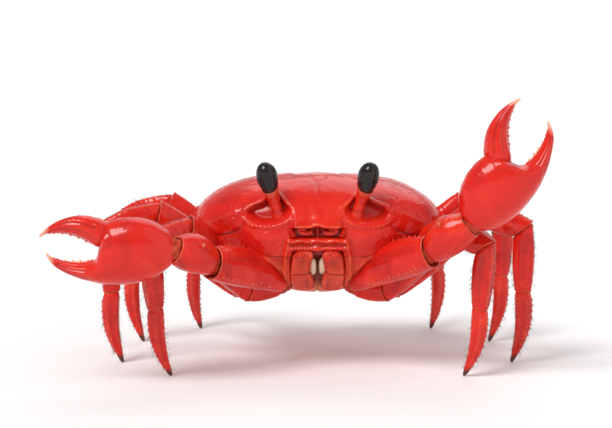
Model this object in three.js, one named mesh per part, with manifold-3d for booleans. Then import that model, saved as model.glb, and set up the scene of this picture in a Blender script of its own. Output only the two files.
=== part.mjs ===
// A life-size model of a red land crab standing on its eight walking legs, with its right claw held
// out level and its left claw raised.
//
// Millimetres, +Z up. The head faces -Y, so the animal's right side lies towards -X. The floor is
// the plane z = 0, and the origin is under the middle of the model's bounding box.
//
// Every plate of the shell is a solid of its own. Neighbours meet across a thin cut, GAP wide.

import * as THREE from "three";
import { mergeVertices } from "three/addons/utils/BufferGeometryUtils.js";
import Module from "manifold-3d";

const wasm = await Module();
wasm.setup();

// ---------------------------------------------------------------------------------------------
// Driving dimensions

const CARAPACE_WIDTH = 105;
const CARAPACE_LENGTH = 0.8 * CARAPACE_WIDTH;
const HALF_WIDTH = CARAPACE_WIDTH / 2;
const FRONT_REACH = 0.39 * CARAPACE_LENGTH; // widest line to the front margin
const BACK_REACH = CARAPACE_LENGTH - FRONT_REACH; // widest line to the back margin
const WIDEST_Y = FRONT_REACH - CARAPACE_LENGTH / 2;

const RIM_HEIGHT = 59; // the widest line at the sides, above the floor
const FRONT_RIM_RISE = 1; // how much higher that line runs at the front
const BACK_RIM_DROP = 12; // and how much lower at the back
const DOME_HEIGHT = 80; // top of the carapace
const BELLY_HEIGHT = 30; // underside of the sternum

const CHELA_LENGTH = 0.48 * CARAPACE_WIDTH; // palm with its fixed finger
const GAP = 0.3; // between neighbouring plates
const BODY_CLEARANCE = 0.45; // between the body and what is cut to fit its faceted surface

const RIGHT = -1;
const LEFT = 1;

// ---------------------------------------------------------------------------------------------
// Materials

const shell = new THREE.MeshStandardMaterial({ color: 0xd3261b, roughness: 0.35, metalness: 0 });
const limb = new THREE.MeshStandardMaterial({ color: 0xdb2f1e, roughness: 0.38, metalness: 0 });
const claw = new THREE.MeshStandardMaterial({ color: 0xdf3322, roughness: 0.33, metalness: 0 });
const underside = new THREE.MeshStandardMaterial({ color: 0xd9583a, roughness: 0.5, metalness: 0 });
const cornea = new THREE.MeshStandardMaterial({ color: 0x0b0808, roughness: 0.08, metalness: 0 });

// ---------------------------------------------------------------------------------------------
// Closed surfaces from rings of points

const vec = (x, y, z) => new THREE.Vector3(x, y, z);
const degrees = (angle) => (angle * Math.PI) / 180;
const mean = (points) =>
  points.reduce((sum, p) => sum.add(p), vec(0, 0, 0)).divideScalar(points.length);

// A closed surface through the rings, all of one size, with a fan over each end.
function closedRings(rings, firstPole = mean(rings[0]), lastPole = mean(rings.at(-1))) {
  const size = rings[0].length;
  const points = [...rings.flat(), firstPole, lastPole];
  const first = points.length - 2;
  const last = points.length - 1;
  const faces = [];
  for (let r = 0; r + 1 < rings.length; r += 1)
    for (let j = 0; j < size; j += 1) {
      const a = r * size + j;
      const b = r * size + ((j + 1) % size);
      faces.push([a, b, b + size], [a, b + size, a + size]);
    }
  const end = (rings.length - 1) * size;
  for (let j = 0; j < size; j += 1) {
    const k = (j + 1) % size;
    faces.push([first, k, j], [last, end + j, end + k]);
  }
  const volume = faces.reduce(
    (sum, [a, b, c]) => sum + points[a].dot(points[b].clone().cross(points[c])), 0);
  const outward = volume > 0 ? faces : faces.map(([a, b, c]) => [a, c, b]);
  return new THREE.BufferGeometry().setFromPoints(points).setIndex(outward.flat());
}

// A superellipse's cosine and sine at an angle. Power 2 is round, and more is squarer.
function squircle(angle, power) {
  const bend = (value) => Math.sign(value) * Math.abs(value) ** (2 / power);
  return [bend(Math.cos(angle)), bend(Math.sin(angle))];
}

// One ring of a loft. `lean` tips it: a point `u` above the centre slides u * lean along the axis.
function ring(station, sides, grow) {
  const { at, axis, up, side, halfUp, halfSide, lean = 0, power = 2.3 } = station;
  return Array.from({ length: sides }, (_, j) => {
    const [c, s] = squircle((2 * Math.PI * j) / sides, power);
    const rise = s * (halfUp + grow);
    return at.clone()
      .addScaledVector(side, c * (halfSide + grow))
      .addScaledVector(up, rise)
      .addScaledVector(axis, rise * lean);
  });
}

function loft(stations, sides, grow = 0) {
  const rings = stations.map((station, i) => {
    const outward = i === 0 ? -grow : i === stations.length - 1 ? grow : 0;
    const at = station.at.clone().addScaledVector(station.axis, outward);
    return ring({ ...station, at }, sides, grow);
  });
  return closedRings(rings);
}

// ---------------------------------------------------------------------------------------------
// Booleans

function solid(geometry) {
  const bare = geometry.clone();
  bare.deleteAttribute("normal");
  bare.deleteAttribute("uv");
  const merged = mergeVertices(bare, 1e-4);
  return new wasm.Manifold(new wasm.Mesh({
    numProp: 3,
    vertProperties: merged.attributes.position.array,
    triVerts: new Uint32Array(merged.index.array),
  }));
}

// The geometry less all the cutters, and only its largest piece.
function carve(geometry, ...cutters) {
  const cut = cutters.reduce((left, cutter) => left.subtract(solid(cutter)), solid(geometry));
  const [largest] = cut.decompose().sort((a, b) => b.volume() - a.volume());
  const mesh = largest.getMesh();
  return new THREE.BufferGeometry()
    .setAttribute("position", new THREE.BufferAttribute(mesh.vertProperties, mesh.numProp))
    .setIndex(new THREE.BufferAttribute(mesh.triVerts, 1));
}

const crab = new THREE.Group();

function add(name, geometry, material) {
  const mesh = new THREE.Mesh(geometry, material);
  mesh.name = name;
  crab.add(mesh);
  return mesh;
}

const sideName = (side) => (side === LEFT ? "left" : "right");

// ---------------------------------------------------------------------------------------------
// Body: carapace above the pleural suture, thorax below it

const DOME_POWER = 2.25; // how boxy the dome is
const FLANK_POWER = 1.5; // how straight the sides slope in to the legs
const FACE_POWER = 2.2; // the face is fuller than the flanks
const SHOULDER_POWER = 2.5; // plan outline ahead of the widest line
const RUMP_POWER = 1.85; // and behind it
const BODY_SIDES = 32;

// A point on the body. Longitude 0 is the face and turns towards the left side; latitude 90 degrees
// is the top of the dome, 0 the widest line and -90 the middle of the sternum.
function bodyPoint(longitude, latitude, grow = 0) {
  const ahead = Math.max(Math.cos(longitude), 0);
  const behind = Math.max(-Math.cos(longitude), 0);
  const [forward, lateral] = squircle(longitude, ahead > 0 ? SHOULDER_POWER : RUMP_POWER);
  const reach = (ahead > 0 ? FRONT_REACH : BACK_REACH) + grow;
  const power = latitude > 0 ? DOME_POWER : FLANK_POWER + (FACE_POWER - FLANK_POWER) * ahead ** 2;
  const [spread, height] = squircle(latitude, power);
  const rim = RIM_HEIGHT + FRONT_RIM_RISE * ahead ** 2 - BACK_RIM_DROP * behind ** 2;
  const limit = latitude > 0 ? DOME_HEIGHT + grow - rim : rim - BELLY_HEIGHT + grow;
  return vec(
    spread * lateral * (HALF_WIDTH + grow),
    WIDEST_Y - spread * forward * reach,
    rim + height * limit,
  );
}

const bodyRing = (latitude, grow = 0, drop = 0) =>
  Array.from({ length: BODY_SIDES }, (_, j) =>
    bodyPoint((2 * Math.PI * j) / BODY_SIDES, latitude, grow).add(vec(0, 0, -drop)));

const latitudes = (...angles) => angles.map(degrees);
const CARAPACE_LATITUDES = latitudes(76, 62, 49, 37, 26, 16, 7, 0, -8, -20);
const THORAX_LATITUDES = latitudes(-28, -37, -47, -58, -70);

const domeTop = vec(0, WIDEST_Y, DOME_HEIGHT);
const sutureMiddle = vec(0, WIDEST_Y, RIM_HEIGHT - 8);
const bellyLow = vec(0, WIDEST_Y, BELLY_HEIGHT);

function carapaceGeometry() {
  return closedRings(CARAPACE_LATITUDES.map((angle) => bodyRing(angle)), domeTop, sutureMiddle);
}

function thoraxGeometry() {
  return closedRings(
    [
      bodyRing(CARAPACE_LATITUDES.at(-1), 0, GAP),
      ...THORAX_LATITUDES.map((angle) => bodyRing(angle)),
    ],
    sutureMiddle.clone().add(vec(0, 0, -GAP)),
    bellyLow,
  );
}

// The whole body, a little larger: what touches the body is cut by it.
function bodyCutter() {
  const rings = [...CARAPACE_LATITUDES, ...THORAX_LATITUDES]
    .map((angle) => bodyRing(angle, BODY_CLEARANCE));
  const outward = vec(0, 0, BODY_CLEARANCE);
  return closedRings(rings, domeTop.clone().add(outward), bellyLow.clone().sub(outward));
}

// ---------------------------------------------------------------------------------------------
// Shapes along a limb

// Swells from `start` to `middle` at the share `peak` of the length, then falls to `end`.
function swell(t, [start, middle, end], peak) {
  if (t < peak) return start + (middle - start) * Math.sin((Math.PI / 2) * (t / peak));
  return end + (middle - end) * Math.cos((Math.PI / 2) * ((t - peak) / (1 - peak)));
}

// Heights and thicknesses are halves, at the start, the fullest place and the end.
const COXA = { height: [4.6, 5.4, 4.4], thick: [4.2, 4.6, 3.4], peak: 0.5, bow: 0, steps: 3 };
const MERUS = { height: [4.4, 7.6, 5.4], thick: [3.2, 4.3, 3.8], peak: 0.5, bow: 0.8, steps: 6 };
const CARPUS = { height: [4.6, 5.7, 4.5], thick: [3.2, 4.1, 3.4], peak: 0.6, bow: 0.9, steps: 4 };
const PROPODUS = { height: [4.2, 4.8, 3.5], thick: [3.0, 3.2, 2.6], peak: 0.4, bow: 0.3, steps: 4 };
const DACTYLUS = { height: [3.4, 3.5, 0.8], thick: [2.6, 2.7, 0.8], peak: 0.15, bow: 2.2, steps: 7 };

// Stations of one segment in the upright plane of its leg. `bends` are the half bends at its two
// ends, by which its end faces are mitred to meet its neighbours.
function segmentStations(start, along, elevation, length, form, bends) {
  const axis = along.clone().multiplyScalar(Math.cos(elevation)).setZ(Math.sin(elevation));
  const up = along.clone().multiplyScalar(-Math.sin(elevation)).setZ(Math.cos(elevation));
  const side = axis.clone().cross(up);
  return Array.from({ length: form.steps + 1 }, (_, i) => {
    const t = i / form.steps;
    const inset = GAP / 2 + t * (length - GAP);
    const lean = (1 - t) * -Math.tan(bends[0]) + t * Math.tan(bends[1]);
    return {
      at: start.clone()
        .addScaledVector(axis, inset)
        .addScaledVector(up, form.bow * Math.sin(Math.PI * t)),
      axis,
      up,
      side,
      lean,
      halfUp: swell(t, form.height, form.peak),
      halfSide: swell(t, form.thick, form.peak),
    };
  });
}

// ---------------------------------------------------------------------------------------------
// Walking legs

const LEG_SEGMENTS = [
  ["coxa", COXA],
  ["merus", MERUS],
  ["carpus", CARPUS],
  ["propodus", PROPODUS],
  ["dactylus", DACTYLUS],
];

// root and foot are for the left side; lengths run from the coxa to the dactylus.
const LEGS = [
  { root: [17, -11, 32], foot: [60, -43], lengths: [15, 41, 19, 25, 29.5], bulk: 0.96 },
  { root: [18, -1, 31.5], foot: [83, -17], lengths: [17, 47, 20.5, 26.5, 31], bulk: 1.0 },
  { root: [17, 11, 31.5], foot: [79, 27], lengths: [17, 46, 20.5, 26.5, 31], bulk: 1.0 },
  { root: [14, 22, 32.5], foot: [55, 58], lengths: [15, 37, 17.5, 23.5, 28.5], bulk: 0.9 },
];
const COXA_ELEVATION = degrees(-3);
const CARPUS_SHARE = 0.45; // where the carpus lies between the merus's slope and the propodus's
const TOE_TUCK = degrees(9); // how much the dactylus turns in below the propodus

// The slopes of a leg's five segments, found so that its tip stands on the floor at its foot.
function legSlopes(lengths, reach, drop) {
  const slopes = ([merus, propodus]) => [
    COXA_ELEVATION,
    merus,
    merus + (propodus - merus) * CARPUS_SHARE,
    propodus,
    propodus - TOE_TUCK,
  ];
  const miss = (angles) => {
    const all = slopes(angles);
    const sum = (wave) => lengths.reduce((total, length, i) => total + length * wave(all[i]), 0);
    return [sum(Math.cos) - reach, sum(Math.sin) + drop];
  };
  let angles = [degrees(30), degrees(-70)];
  const step = 1e-5;
  for (let round = 0; round < 12; round += 1) {
    const [x, z] = miss(angles);
    const [xm, zm] = miss([angles[0] + step, angles[1]]).map((v, i) => (v - [x, z][i]) / step);
    const [xp, zp] = miss([angles[0], angles[1] + step]).map((v, i) => (v - [x, z][i]) / step);
    const scale = xm * zp - xp * zm;
    angles = [angles[0] - (x * zp - z * xp) / scale, angles[1] - (z * xm - x * zm) / scale];
  }
  return slopes(angles);
}

function scaledForm(form, bulk) {
  return {
    ...form,
    height: form.height.map((h) => h * bulk),
    thick: form.thick.map((h) => h * bulk),
  };
}

function addLeg(side, number, { root, foot, lengths, bulk }, body) {
  const start = vec(side * root[0], root[1], root[2]);
  const flat = vec(side * foot[0] - start.x, foot[1] - start.y, 0);
  const slopes = legSlopes(lengths, flat.length(), start.z);
  const along = flat.normalize();
  const at = start.clone();
  LEG_SEGMENTS.forEach(([part, form], i) => {
    const before = i > 0 ? (slopes[i - 1] - slopes[i]) / 2 : 0;
    const last = i === LEG_SEGMENTS.length - 1;
    // The toe's end face is level, so that it stands flat.
    const after = last ? Math.PI / 2 + slopes[i] : (slopes[i] - slopes[i + 1]) / 2;
    const stations = segmentStations(
      at, along, slopes[i], lengths[i], scaledForm(form, last ? 1 : bulk), [before, after]);
    const geometry = loft(stations, part === "merus" ? 10 : 8);
    const name = `leg_${sideName(side)}_${number}_${part}`;
    add(name, i < 2 ? carve(geometry, body) : geometry, limb);
    at.addScaledVector(stations[0].axis, lengths[i]);
  });
}

// ---------------------------------------------------------------------------------------------
// Claws: an arm, a wrist, a palm with the fixed finger, and the moving finger above it

// Palm and fixed finger, from the wrist to the tip: distance, top edge, bottom edge and half
// thickness, for a chela 54 long.
const PALM_OUTLINE = [
  [0, 4.6, -4.6, 4.4],
  [3, 8.4, -7.6, 6.4],
  [9, 12.4, -11.2, 8.8],
  [17, 14.2, -13.2, 10],
  [24, 13.6, -13.6, 9.8],
  [28.5, 11.4, -13.4, 9],
  [30.5, 5.5, -13.1, 8.4],
  [32.5, -1.2, -12.7, 7.6],
  [36, -3.6, -11.8, 6.2],
  [40, -4.2, -10.6, 5],
  [44, -3.9, -8.9, 4],
  [48, -2.9, -6.8, 2.9],
  [51.5, -1.2, -4.2, 1.9],
  [54, 1.2, -0.6, 0.8],
];

// The moving finger when shut, from its hinge: distance, top edge, bottom edge, half thickness.
const FINGER_OUTLINE = [
  [0, 4.4, -4.4, 4.6],
  [3.5, 6.2, -5.0, 6],
  [8, 6.6, -3.6, 5.4],
  [13, 6.0, -2.4, 4.6],
  [18, 4.0, -2.6, 3.6],
  [22, 1.4, -3.6, 2.6],
  [25.5, -2.2, -5.2, 1.7],
  [28, -6.0, -7.6, 0.8],
];
const OUTLINE_LENGTH = 54;
const FINGER_STEPS = 15;
const PALM_SIDES = 12;
const FINGER_SIDES = 10;
const HINGE = [27.5, 6.2]; // the moving finger's hinge, along the palm and above its axis

// The value of one column of an outline at a distance, on a smooth curve through its rows.
function outlineValue(outline, column, distance) {
  const last = outline.length - 1;
  const i = Math.min(Math.max(outline.findIndex((row) => row[0] > distance) - 1, 0), last - 1);
  const k = distance >= outline[last][0] ? last - 1 : i;
  const slope = (n) => {
    const a = outline[Math.max(n - 1, 0)];
    const b = outline[Math.min(n + 1, last)];
    return (b[column] - a[column]) / (b[0] - a[0]);
  };
  const [p, q] = [outline[k], outline[k + 1]];
  const span = q[0] - p[0];
  const t = (distance - p[0]) / span;
  const keep = 1 - t;
  return (1 + 2 * t) * keep ** 2 * p[column] + t * keep ** 2 * span * slope(k)
    + t ** 2 * (3 - 2 * t) * q[column] - t ** 2 * keep * span * slope(k + 1);
}

// Blunt teeth along a cutting edge: 1 on a tooth, 0 between two.
const TOOTH_PITCH = 4.2;
const teeth = (distance, from, to) => {
  if (distance < from || distance > to) return 0;
  return Math.sin((Math.PI * (distance - from)) / TOOTH_PITCH) ** 2;
};

function palmStations(frame) {
  const early = [0, 2, 6, 12, 20, 26, 28.5, 30.5, 32.5, 34.5];
  const late = Array.from({ length: 11 }, (_, i) => 36 + (i * (OUTLINE_LENGTH - 36)) / 10);
  return [...early, ...late].map((distance) => {
    const top = outlineValue(PALM_OUTLINE, 1, distance) + 1.1 * teeth(distance, 35.5, 48.1);
    const bottom = outlineValue(PALM_OUTLINE, 2, distance);
    return chelaStation(frame, distance, top, bottom, outlineValue(PALM_OUTLINE, 3, distance));
  });
}

function chelaStation(frame, distance, top, bottom, halfSide) {
  const { origin, axis, up, side, scale } = frame;
  return {
    at: origin.clone()
      .addScaledVector(axis, distance * scale)
      .addScaledVector(up, ((top + bottom) / 2) * scale),
    axis,
    up,
    side,
    halfUp: ((top - bottom) / 2) * scale,
    halfSide: halfSide * scale,
    power: 2.2,
  };
}

// The palm's frame turned about the hinge by the gape.
function fingerFrame(frame, gape) {
  const { origin, axis, up, side, scale } = frame;
  const turned = (v) => v.clone().applyAxisAngle(side, gape);
  return {
    ...frame,
    origin: origin.clone()
      .addScaledVector(axis, HINGE[0] * scale)
      .addScaledVector(up, HINGE[1] * scale),
    axis: turned(axis),
    up: turned(up),
  };
}

function fingerStations(frame) {
  const end = FINGER_OUTLINE.at(-1)[0];
  return Array.from({ length: FINGER_STEPS + 1 }, (_, i) => {
    const distance = (i * end) / FINGER_STEPS;
    const top = outlineValue(FINGER_OUTLINE, 1, distance);
    const bottom = outlineValue(FINGER_OUTLINE, 2, distance) - teeth(distance, 8, 20.6);
    return chelaStation(frame, distance, top, bottom, outlineValue(FINGER_OUTLINE, 3, distance));
  });
}

// A straight or slightly bowed limb piece between two points.
function barStations(from, to, upHint, form) {
  const axis = to.clone().sub(from);
  const length = axis.length();
  axis.normalize();
  const side = axis.clone().cross(upHint).normalize();
  const up = side.clone().cross(axis);
  return Array.from({ length: form.steps + 1 }, (_, i) => {
    const t = i / form.steps;
    return {
      at: from.clone()
        .addScaledVector(axis, t * length)
        .addScaledVector(up, form.bow * Math.sin(Math.PI * t)),
      axis,
      up,
      side,
      halfUp: swell(t, form.height, form.peak),
      halfSide: swell(t, form.thick, form.peak),
    };
  });
}

const ARM = { height: [5, 8, 6.6], thick: [4.6, 6.4, 5.6], peak: 0.62, bow: 1.2, steps: 7 };
const ARM_SIDES = 10;
const WRIST = { height: [5, 8, 5.2], thick: [4.8, 7.4, 5], peak: 0.55, bow: 1, steps: 6 };

const CLAWS = [
  {
    side: RIGHT,
    shoulder: vec(-15, -27, 37),
    elbow: vec(-42, -53, 48),
    wrist: vec(-56, -64, 55),
    pointing: vec(-1, 0, -0.04),
    gape: degrees(17),
  },
  {
    side: LEFT,
    shoulder: vec(15, -27, 37),
    elbow: vec(45, -50, 52),
    wrist: vec(60, -58, 64),
    pointing: vec(0.6, 0, 0.8),
    gape: degrees(33),
  },
];

function clawFrame({ side, wrist, pointing }) {
  const axis = pointing.clone().normalize();
  const facing = vec(0, -1, 0); // the palm's outer face turns to the front
  const up = facing.clone().cross(axis).multiplyScalar(side).normalize();
  // A turn about the side vector opens the finger.
  return {
    origin: wrist,
    axis,
    up,
    side: axis.clone().cross(up),
    scale: CHELA_LENGTH / OUTLINE_LENGTH,
  };
}

function addClaw(spec, body) {
  const name = `claw_${sideName(spec.side)}`;
  const frame = clawFrame(spec);
  const palm = palmStations(frame);
  const finger = fingerStations(fingerFrame(frame, spec.gape));
  const wrist = barStations(spec.elbow, spec.wrist, frame.up, WRIST);
  const arm = barStations(spec.shoulder, spec.elbow, vec(0, 0, 1), ARM);
  add(`${name}_finger`, loft(finger, FINGER_SIDES), claw);
  add(`${name}_palm`, carve(loft(palm, PALM_SIDES), loft(finger, FINGER_SIDES, GAP)), claw);
  add(`${name}_wrist`, carve(loft(wrist, ARM_SIDES), loft(palm, PALM_SIDES, GAP)), limb);
  add(`${name}_arm`, carve(loft(arm, ARM_SIDES), loft(wrist, ARM_SIDES, GAP), body), limb);
}

// ---------------------------------------------------------------------------------------------
// Face: eyestalks with their corneas, antennae and the outer mouthparts

const EYE_ROOT = vec(15.5, -34.8, 63.5);
const EYE_TIP = vec(22, -42, 87);
const EYE_SHARE = 0.6; // of the eye's whole length, where the stalk gives way to the cornea
const STALK = { height: [2.6, 2.6, 3.3], thick: [2.6, 2.6, 3.3], peak: 0.4, bow: 0, steps: 4 };
const CORNEA = { height: [3.6, 4.5, 1.6], thick: [3.6, 4.5, 1.6], peak: 0.45, bow: 0, steps: 6 };

const mirrored = (v, side) => vec(side * v.x, v.y, v.z);

function eyeStations(side) {
  const root = mirrored(EYE_ROOT, side);
  const tip = mirrored(EYE_TIP, side);
  const joint = root.clone().lerp(tip, EYE_SHARE);
  const axis = tip.clone().sub(root).normalize();
  return {
    stalk: barStations(root, joint, vec(0, 0, 1), STALK),
    cornea: barStations(joint.clone().addScaledVector(axis, GAP), tip, vec(0, 0, 1), CORNEA),
  };
}

const ANTENNA_ROOT = vec(9.5, -38, 56);
const ANTENNA_TIP = vec(12.5, -50, 62);
const ANTENNA = { height: [1.3, 1.1, 0.5], thick: [1.3, 1.1, 0.5], peak: 0.3, bow: 0.8, steps: 5 };

// The third maxillipeds close the mouth like two doors, which leave a gap between them.
const MOUTH = { height: [1.6, 2.3, 1.8], thick: [3.2, 4.8, 3.2], peak: 0.5, steps: 6 };
const MOUTH_LATITUDES = [degrees(-57), degrees(-17)];
const MOUTH_OFFSET = 6.2; // from the middle line
const MOUTH_RISE = 0.9; // of the plate's middle above the face

// A point of the face at a distance from the middle line, and the way out from it there.
function facePoint(x, latitude) {
  const spread = squircle(latitude, FACE_POWER)[0] * HALF_WIDTH;
  const longitude = (reach) => Math.asin(Math.min(Math.abs(x) / reach, 1) ** (SHOULDER_POWER / 2));
  const at = bodyPoint(Math.sign(x) * longitude(spread), latitude);
  const below = bodyPoint(Math.sign(x) * longitude(spread), latitude - 0.02);
  const along = at.clone().sub(below).setX(0).normalize();
  return { at, along, out: vec(1, 0, 0).cross(along).normalize() };
}

function mouthStations(side) {
  return Array.from({ length: MOUTH.steps + 1 }, (_, i) => {
    const t = i / MOUTH.steps;
    const latitude = MOUTH_LATITUDES[0] + (MOUTH_LATITUDES[1] - MOUTH_LATITUDES[0]) * t;
    const { at, along, out } = facePoint(side * MOUTH_OFFSET, latitude);
    if (out.y > 0) out.negate();
    return {
      at: at.addScaledVector(out, MOUTH_RISE),
      axis: along,
      up: out,
      side: vec(1, 0, 0),
      halfUp: swell(t, MOUTH.height, MOUTH.peak),
      halfSide: swell(t, MOUTH.thick, MOUTH.peak),
      power: 2.6,
    };
  });
}

// ---------------------------------------------------------------------------------------------
// Abdomen: the tail folded forward under the body, tapering to the sternum's middle

const ABDOMEN_SPAN = [degrees(-24), degrees(-84)];
const ABDOMEN = { height: [1.9, 2.1, 1.5], thick: [8.5, 11.5, 3.5], peak: 0.25, steps: 7 };
const ABDOMEN_RISE = 0.6; // of the plate's middle above the body

function abdomenStations() {
  return Array.from({ length: ABDOMEN.steps + 1 }, (_, i) => {
    const t = i / ABDOMEN.steps;
    const latitude = ABDOMEN_SPAN[0] + (ABDOMEN_SPAN[1] - ABDOMEN_SPAN[0]) * t;
    const tangent = bodyPoint(Math.PI, latitude - 0.01)
      .sub(bodyPoint(Math.PI, latitude + 0.01)).normalize();
    const side = vec(1, 0, 0);
    const out = tangent.clone().cross(side).normalize();
    return {
      at: bodyPoint(Math.PI, latitude).addScaledVector(out, ABDOMEN_RISE),
      axis: tangent,
      up: out,
      side,
      halfUp: swell(t, ABDOMEN.height, ABDOMEN.peak),
      halfSide: swell(t, ABDOMEN.thick, ABDOMEN.peak),
      power: 2.6,
    };
  });
}

// ---------------------------------------------------------------------------------------------
// Assembly

const body = bodyCutter();
const eyes = [RIGHT, LEFT].map((side) => ({ side, ...eyeStations(side) }));
const eyeSockets = eyes.map(({ stalk }) => loft(stalk, 10, GAP));

add("carapace", carve(carapaceGeometry(), ...eyeSockets), shell);
add("thorax", thoraxGeometry(), underside);
add("abdomen", carve(loft(abdomenStations(), 10), body), underside);

for (const { side, stalk, cornea: dome } of eyes) {
  const name = sideName(side);
  add(`eyestalk_${name}`, loft(stalk, 10), shell);
  add(`eye_${name}`, loft(dome, 12), cornea);
  const antenna = barStations(
    mirrored(ANTENNA_ROOT, side), mirrored(ANTENNA_TIP, side), vec(0, 0, 1), ANTENNA);
  add(`antenna_${name}`, carve(loft(antenna, 6), body), limb);
  add(`maxilliped_${name}`, carve(loft(mouthStations(side), 10), body), underside);
}

for (const spec of CLAWS) addClaw(spec, body);

for (const side of [RIGHT, LEFT])
  LEGS.forEach((leg, i) => addLeg(side, i + 1, leg, body));

// The origin goes under the middle of the bounding box.
const bounds = new THREE.Box3().setFromObject(crab);
const middle = bounds.getCenter(vec(0, 0, 0));
crab.position.set(-middle.x, -middle.y, -bounds.min.z);

export default crab;
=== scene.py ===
"""A life-size red land crab, standing with its right claw held out level and its left claw raised.

The model is built in millimetres in the animal's own frame: it faces -Y, its left side is +X, and
the floor is z = 0. Each piece is moved to the row frame and turned into metres when it is made.
"""

import logging
from dataclasses import dataclass, field
from enum import Enum
from math import cos, pi, radians, sin, tan
from typing import NamedTuple

import bpy
import numpy as np
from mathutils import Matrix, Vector


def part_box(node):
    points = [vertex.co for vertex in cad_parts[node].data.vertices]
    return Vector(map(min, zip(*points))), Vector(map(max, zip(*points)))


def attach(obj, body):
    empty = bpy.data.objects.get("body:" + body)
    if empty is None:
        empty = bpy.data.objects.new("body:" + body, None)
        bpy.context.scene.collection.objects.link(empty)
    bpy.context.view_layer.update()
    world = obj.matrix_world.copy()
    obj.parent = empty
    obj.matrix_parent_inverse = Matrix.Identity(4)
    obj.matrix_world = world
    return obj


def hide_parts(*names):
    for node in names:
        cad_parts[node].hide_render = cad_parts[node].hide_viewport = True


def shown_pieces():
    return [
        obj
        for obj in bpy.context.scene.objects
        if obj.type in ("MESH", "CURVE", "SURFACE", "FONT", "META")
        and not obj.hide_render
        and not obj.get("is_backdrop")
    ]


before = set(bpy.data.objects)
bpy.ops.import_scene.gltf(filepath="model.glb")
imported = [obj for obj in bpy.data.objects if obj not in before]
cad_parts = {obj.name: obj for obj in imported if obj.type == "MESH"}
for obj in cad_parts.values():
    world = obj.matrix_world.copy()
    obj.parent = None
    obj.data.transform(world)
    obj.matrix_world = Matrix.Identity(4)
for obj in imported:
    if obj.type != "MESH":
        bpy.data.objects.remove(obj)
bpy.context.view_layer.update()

Array = np.ndarray
Pair = tuple[float, float]
Triple = tuple[float, float, float]
Row = tuple[float, ...]
Rows = tuple[Row, ...]
Scatter = tuple[int, float, Pair, int]  # count, size, lowest and highest, seed
Inputs = dict[str | int, object]
Material = bpy.types.Material
Tree = bpy.types.NodeTree

LOG = logging.getLogger("land_crab")
MM = 0.001
SEED = 20260
LOW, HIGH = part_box("carapace")
ANIMAL_SHIFT = np.array([(LOW.x + HIGH.x) / 2, (LOW.y + HIGH.y) / 2, 0.0]) / MM
ACROSS = np.array([1.0, 0.0, 0.0])
UPWARD = np.array([0.0, 0.0, 1.0])

# Named options


class Side(Enum):
    """The two sides of the animal; its right side lies towards -X."""

    RIGHT = -1
    LEFT = 1

    def __str__(self) -> str:
        """The side as it stands in the names of pieces."""
        return self.name.lower()

    def place(self, x: float, y: float, z: float) -> Array:
        """A point given for the left side, on this side."""
        return np.array([self.value * x, y, z], float)


class Slot(Enum):
    """The record's material slots."""

    SHELL = "shell"
    LIMB = "limb"
    CLAW = "claw"
    UNDERSIDE = "underside"
    CORNEA = "cornea"


class Paint(Enum):
    """The values painted on every point, which the materials read as attributes."""

    # dark joints, and painted shade in creases, grooves, pits, hollows and under edges
    CREASE = "crease"
    RIDGE = "ridge"
    PALE = "pale"
    HORN = "horn"


# Small mathematics


def unit(v: Array) -> Array:
    """Vectors scaled to length 1 along their last axis."""
    return v / np.maximum(np.linalg.norm(v, axis=-1, keepdims=True), 1e-12)


def column(values: Array) -> Array:
    """One value for each ring, ready to spread round the rings."""
    return np.asarray(values)[:, None]


def squircle(angle: Array, power: Array) -> tuple[Array, Array]:
    """A superellipse's cosine and sine; power 2 is round, and more is squarer."""
    c, s = np.cos(angle), np.sin(angle)
    return np.sign(c) * np.abs(c) ** (2 / power), np.sign(s) * np.abs(s) ** (2 / power)


def ramp(x: Array, low: float, high: float) -> Array:
    """A smooth step from 0 at low to 1 at high, whichever of them is the greater."""
    t = np.clip((x - low) / (high - low), 0, 1)
    return t * t * (3 - 2 * t)


def bell(x: Array, centre: float, width: float) -> Array:
    """A smooth bump of height 1 round centre."""
    return np.exp(-(((x - centre) / width) ** 2))


def swell(t: Array, sizes: Triple, peak: float) -> Array:
    """A size along a limb piece.

    Args:
        t: Share of its length.
        sizes: Its size at the start, at the fullest place and at the end.
        peak: The fullest place.

    Returns:
        The size at each t.
    """
    start, middle, end = sizes
    t = np.clip(t, 0, 1)
    rise = start + (middle - start) * np.sin(np.pi / 2 * np.minimum(t / peak, 1))
    late = np.clip((t - peak) / (1 - peak), 0, 1)
    return np.where(t < peak, rise, end + (middle - end) * np.cos(np.pi / 2 * late))


def curve_through(points: Rows | Array, count: int) -> Array:
    """Points on a smooth curve.

    Args:
        points: The points it passes through.
        count: How many points to return.

    Returns:
        The curve's points.
    """
    p = np.array(points, float)
    p = np.vstack([2 * p[0] - p[1], p, 2 * p[-1] - p[-2]])
    at = np.linspace(0, len(points) - 1 - 1e-9, count)
    i = at.astype(int)
    t = column(at - i)
    a, b, c, d = p[i], p[i + 1], p[i + 2], p[i + 3]
    return 0.5 * (2 * b + (c - a) * t + (2 * a - 5 * b + 4 * c - d) * t**2
                  + (3 * b - a - 3 * c + d) * t**3)


def near_line(x: Array, y: Array, points: Rows, width: float) -> Array:
    """How near each place is to a plane curve, falling off smoothly.

    Args:
        x: First coordinates.
        y: Second coordinates.
        points: Both coordinates and the strength along the curve.
        width: Where the value has fallen to about a third.

    Returns:
        Values from 0 to 1.
    """
    best = np.zeros(x.shape)
    line = curve_through(points, 32)
    for (u, v, strength), (du, dv, more) in zip(line, np.diff(line, axis=0)):
        t = np.clip(((x - u) * du + (y - v) * dv) / (du**2 + dv**2), 0, 1)
        gap = (x - u - du * t) ** 2 + (y - v - dv * t) ** 2
        best = np.maximum(best, (strength + more * t) * np.exp(-gap / width**2))
    return best


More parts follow.
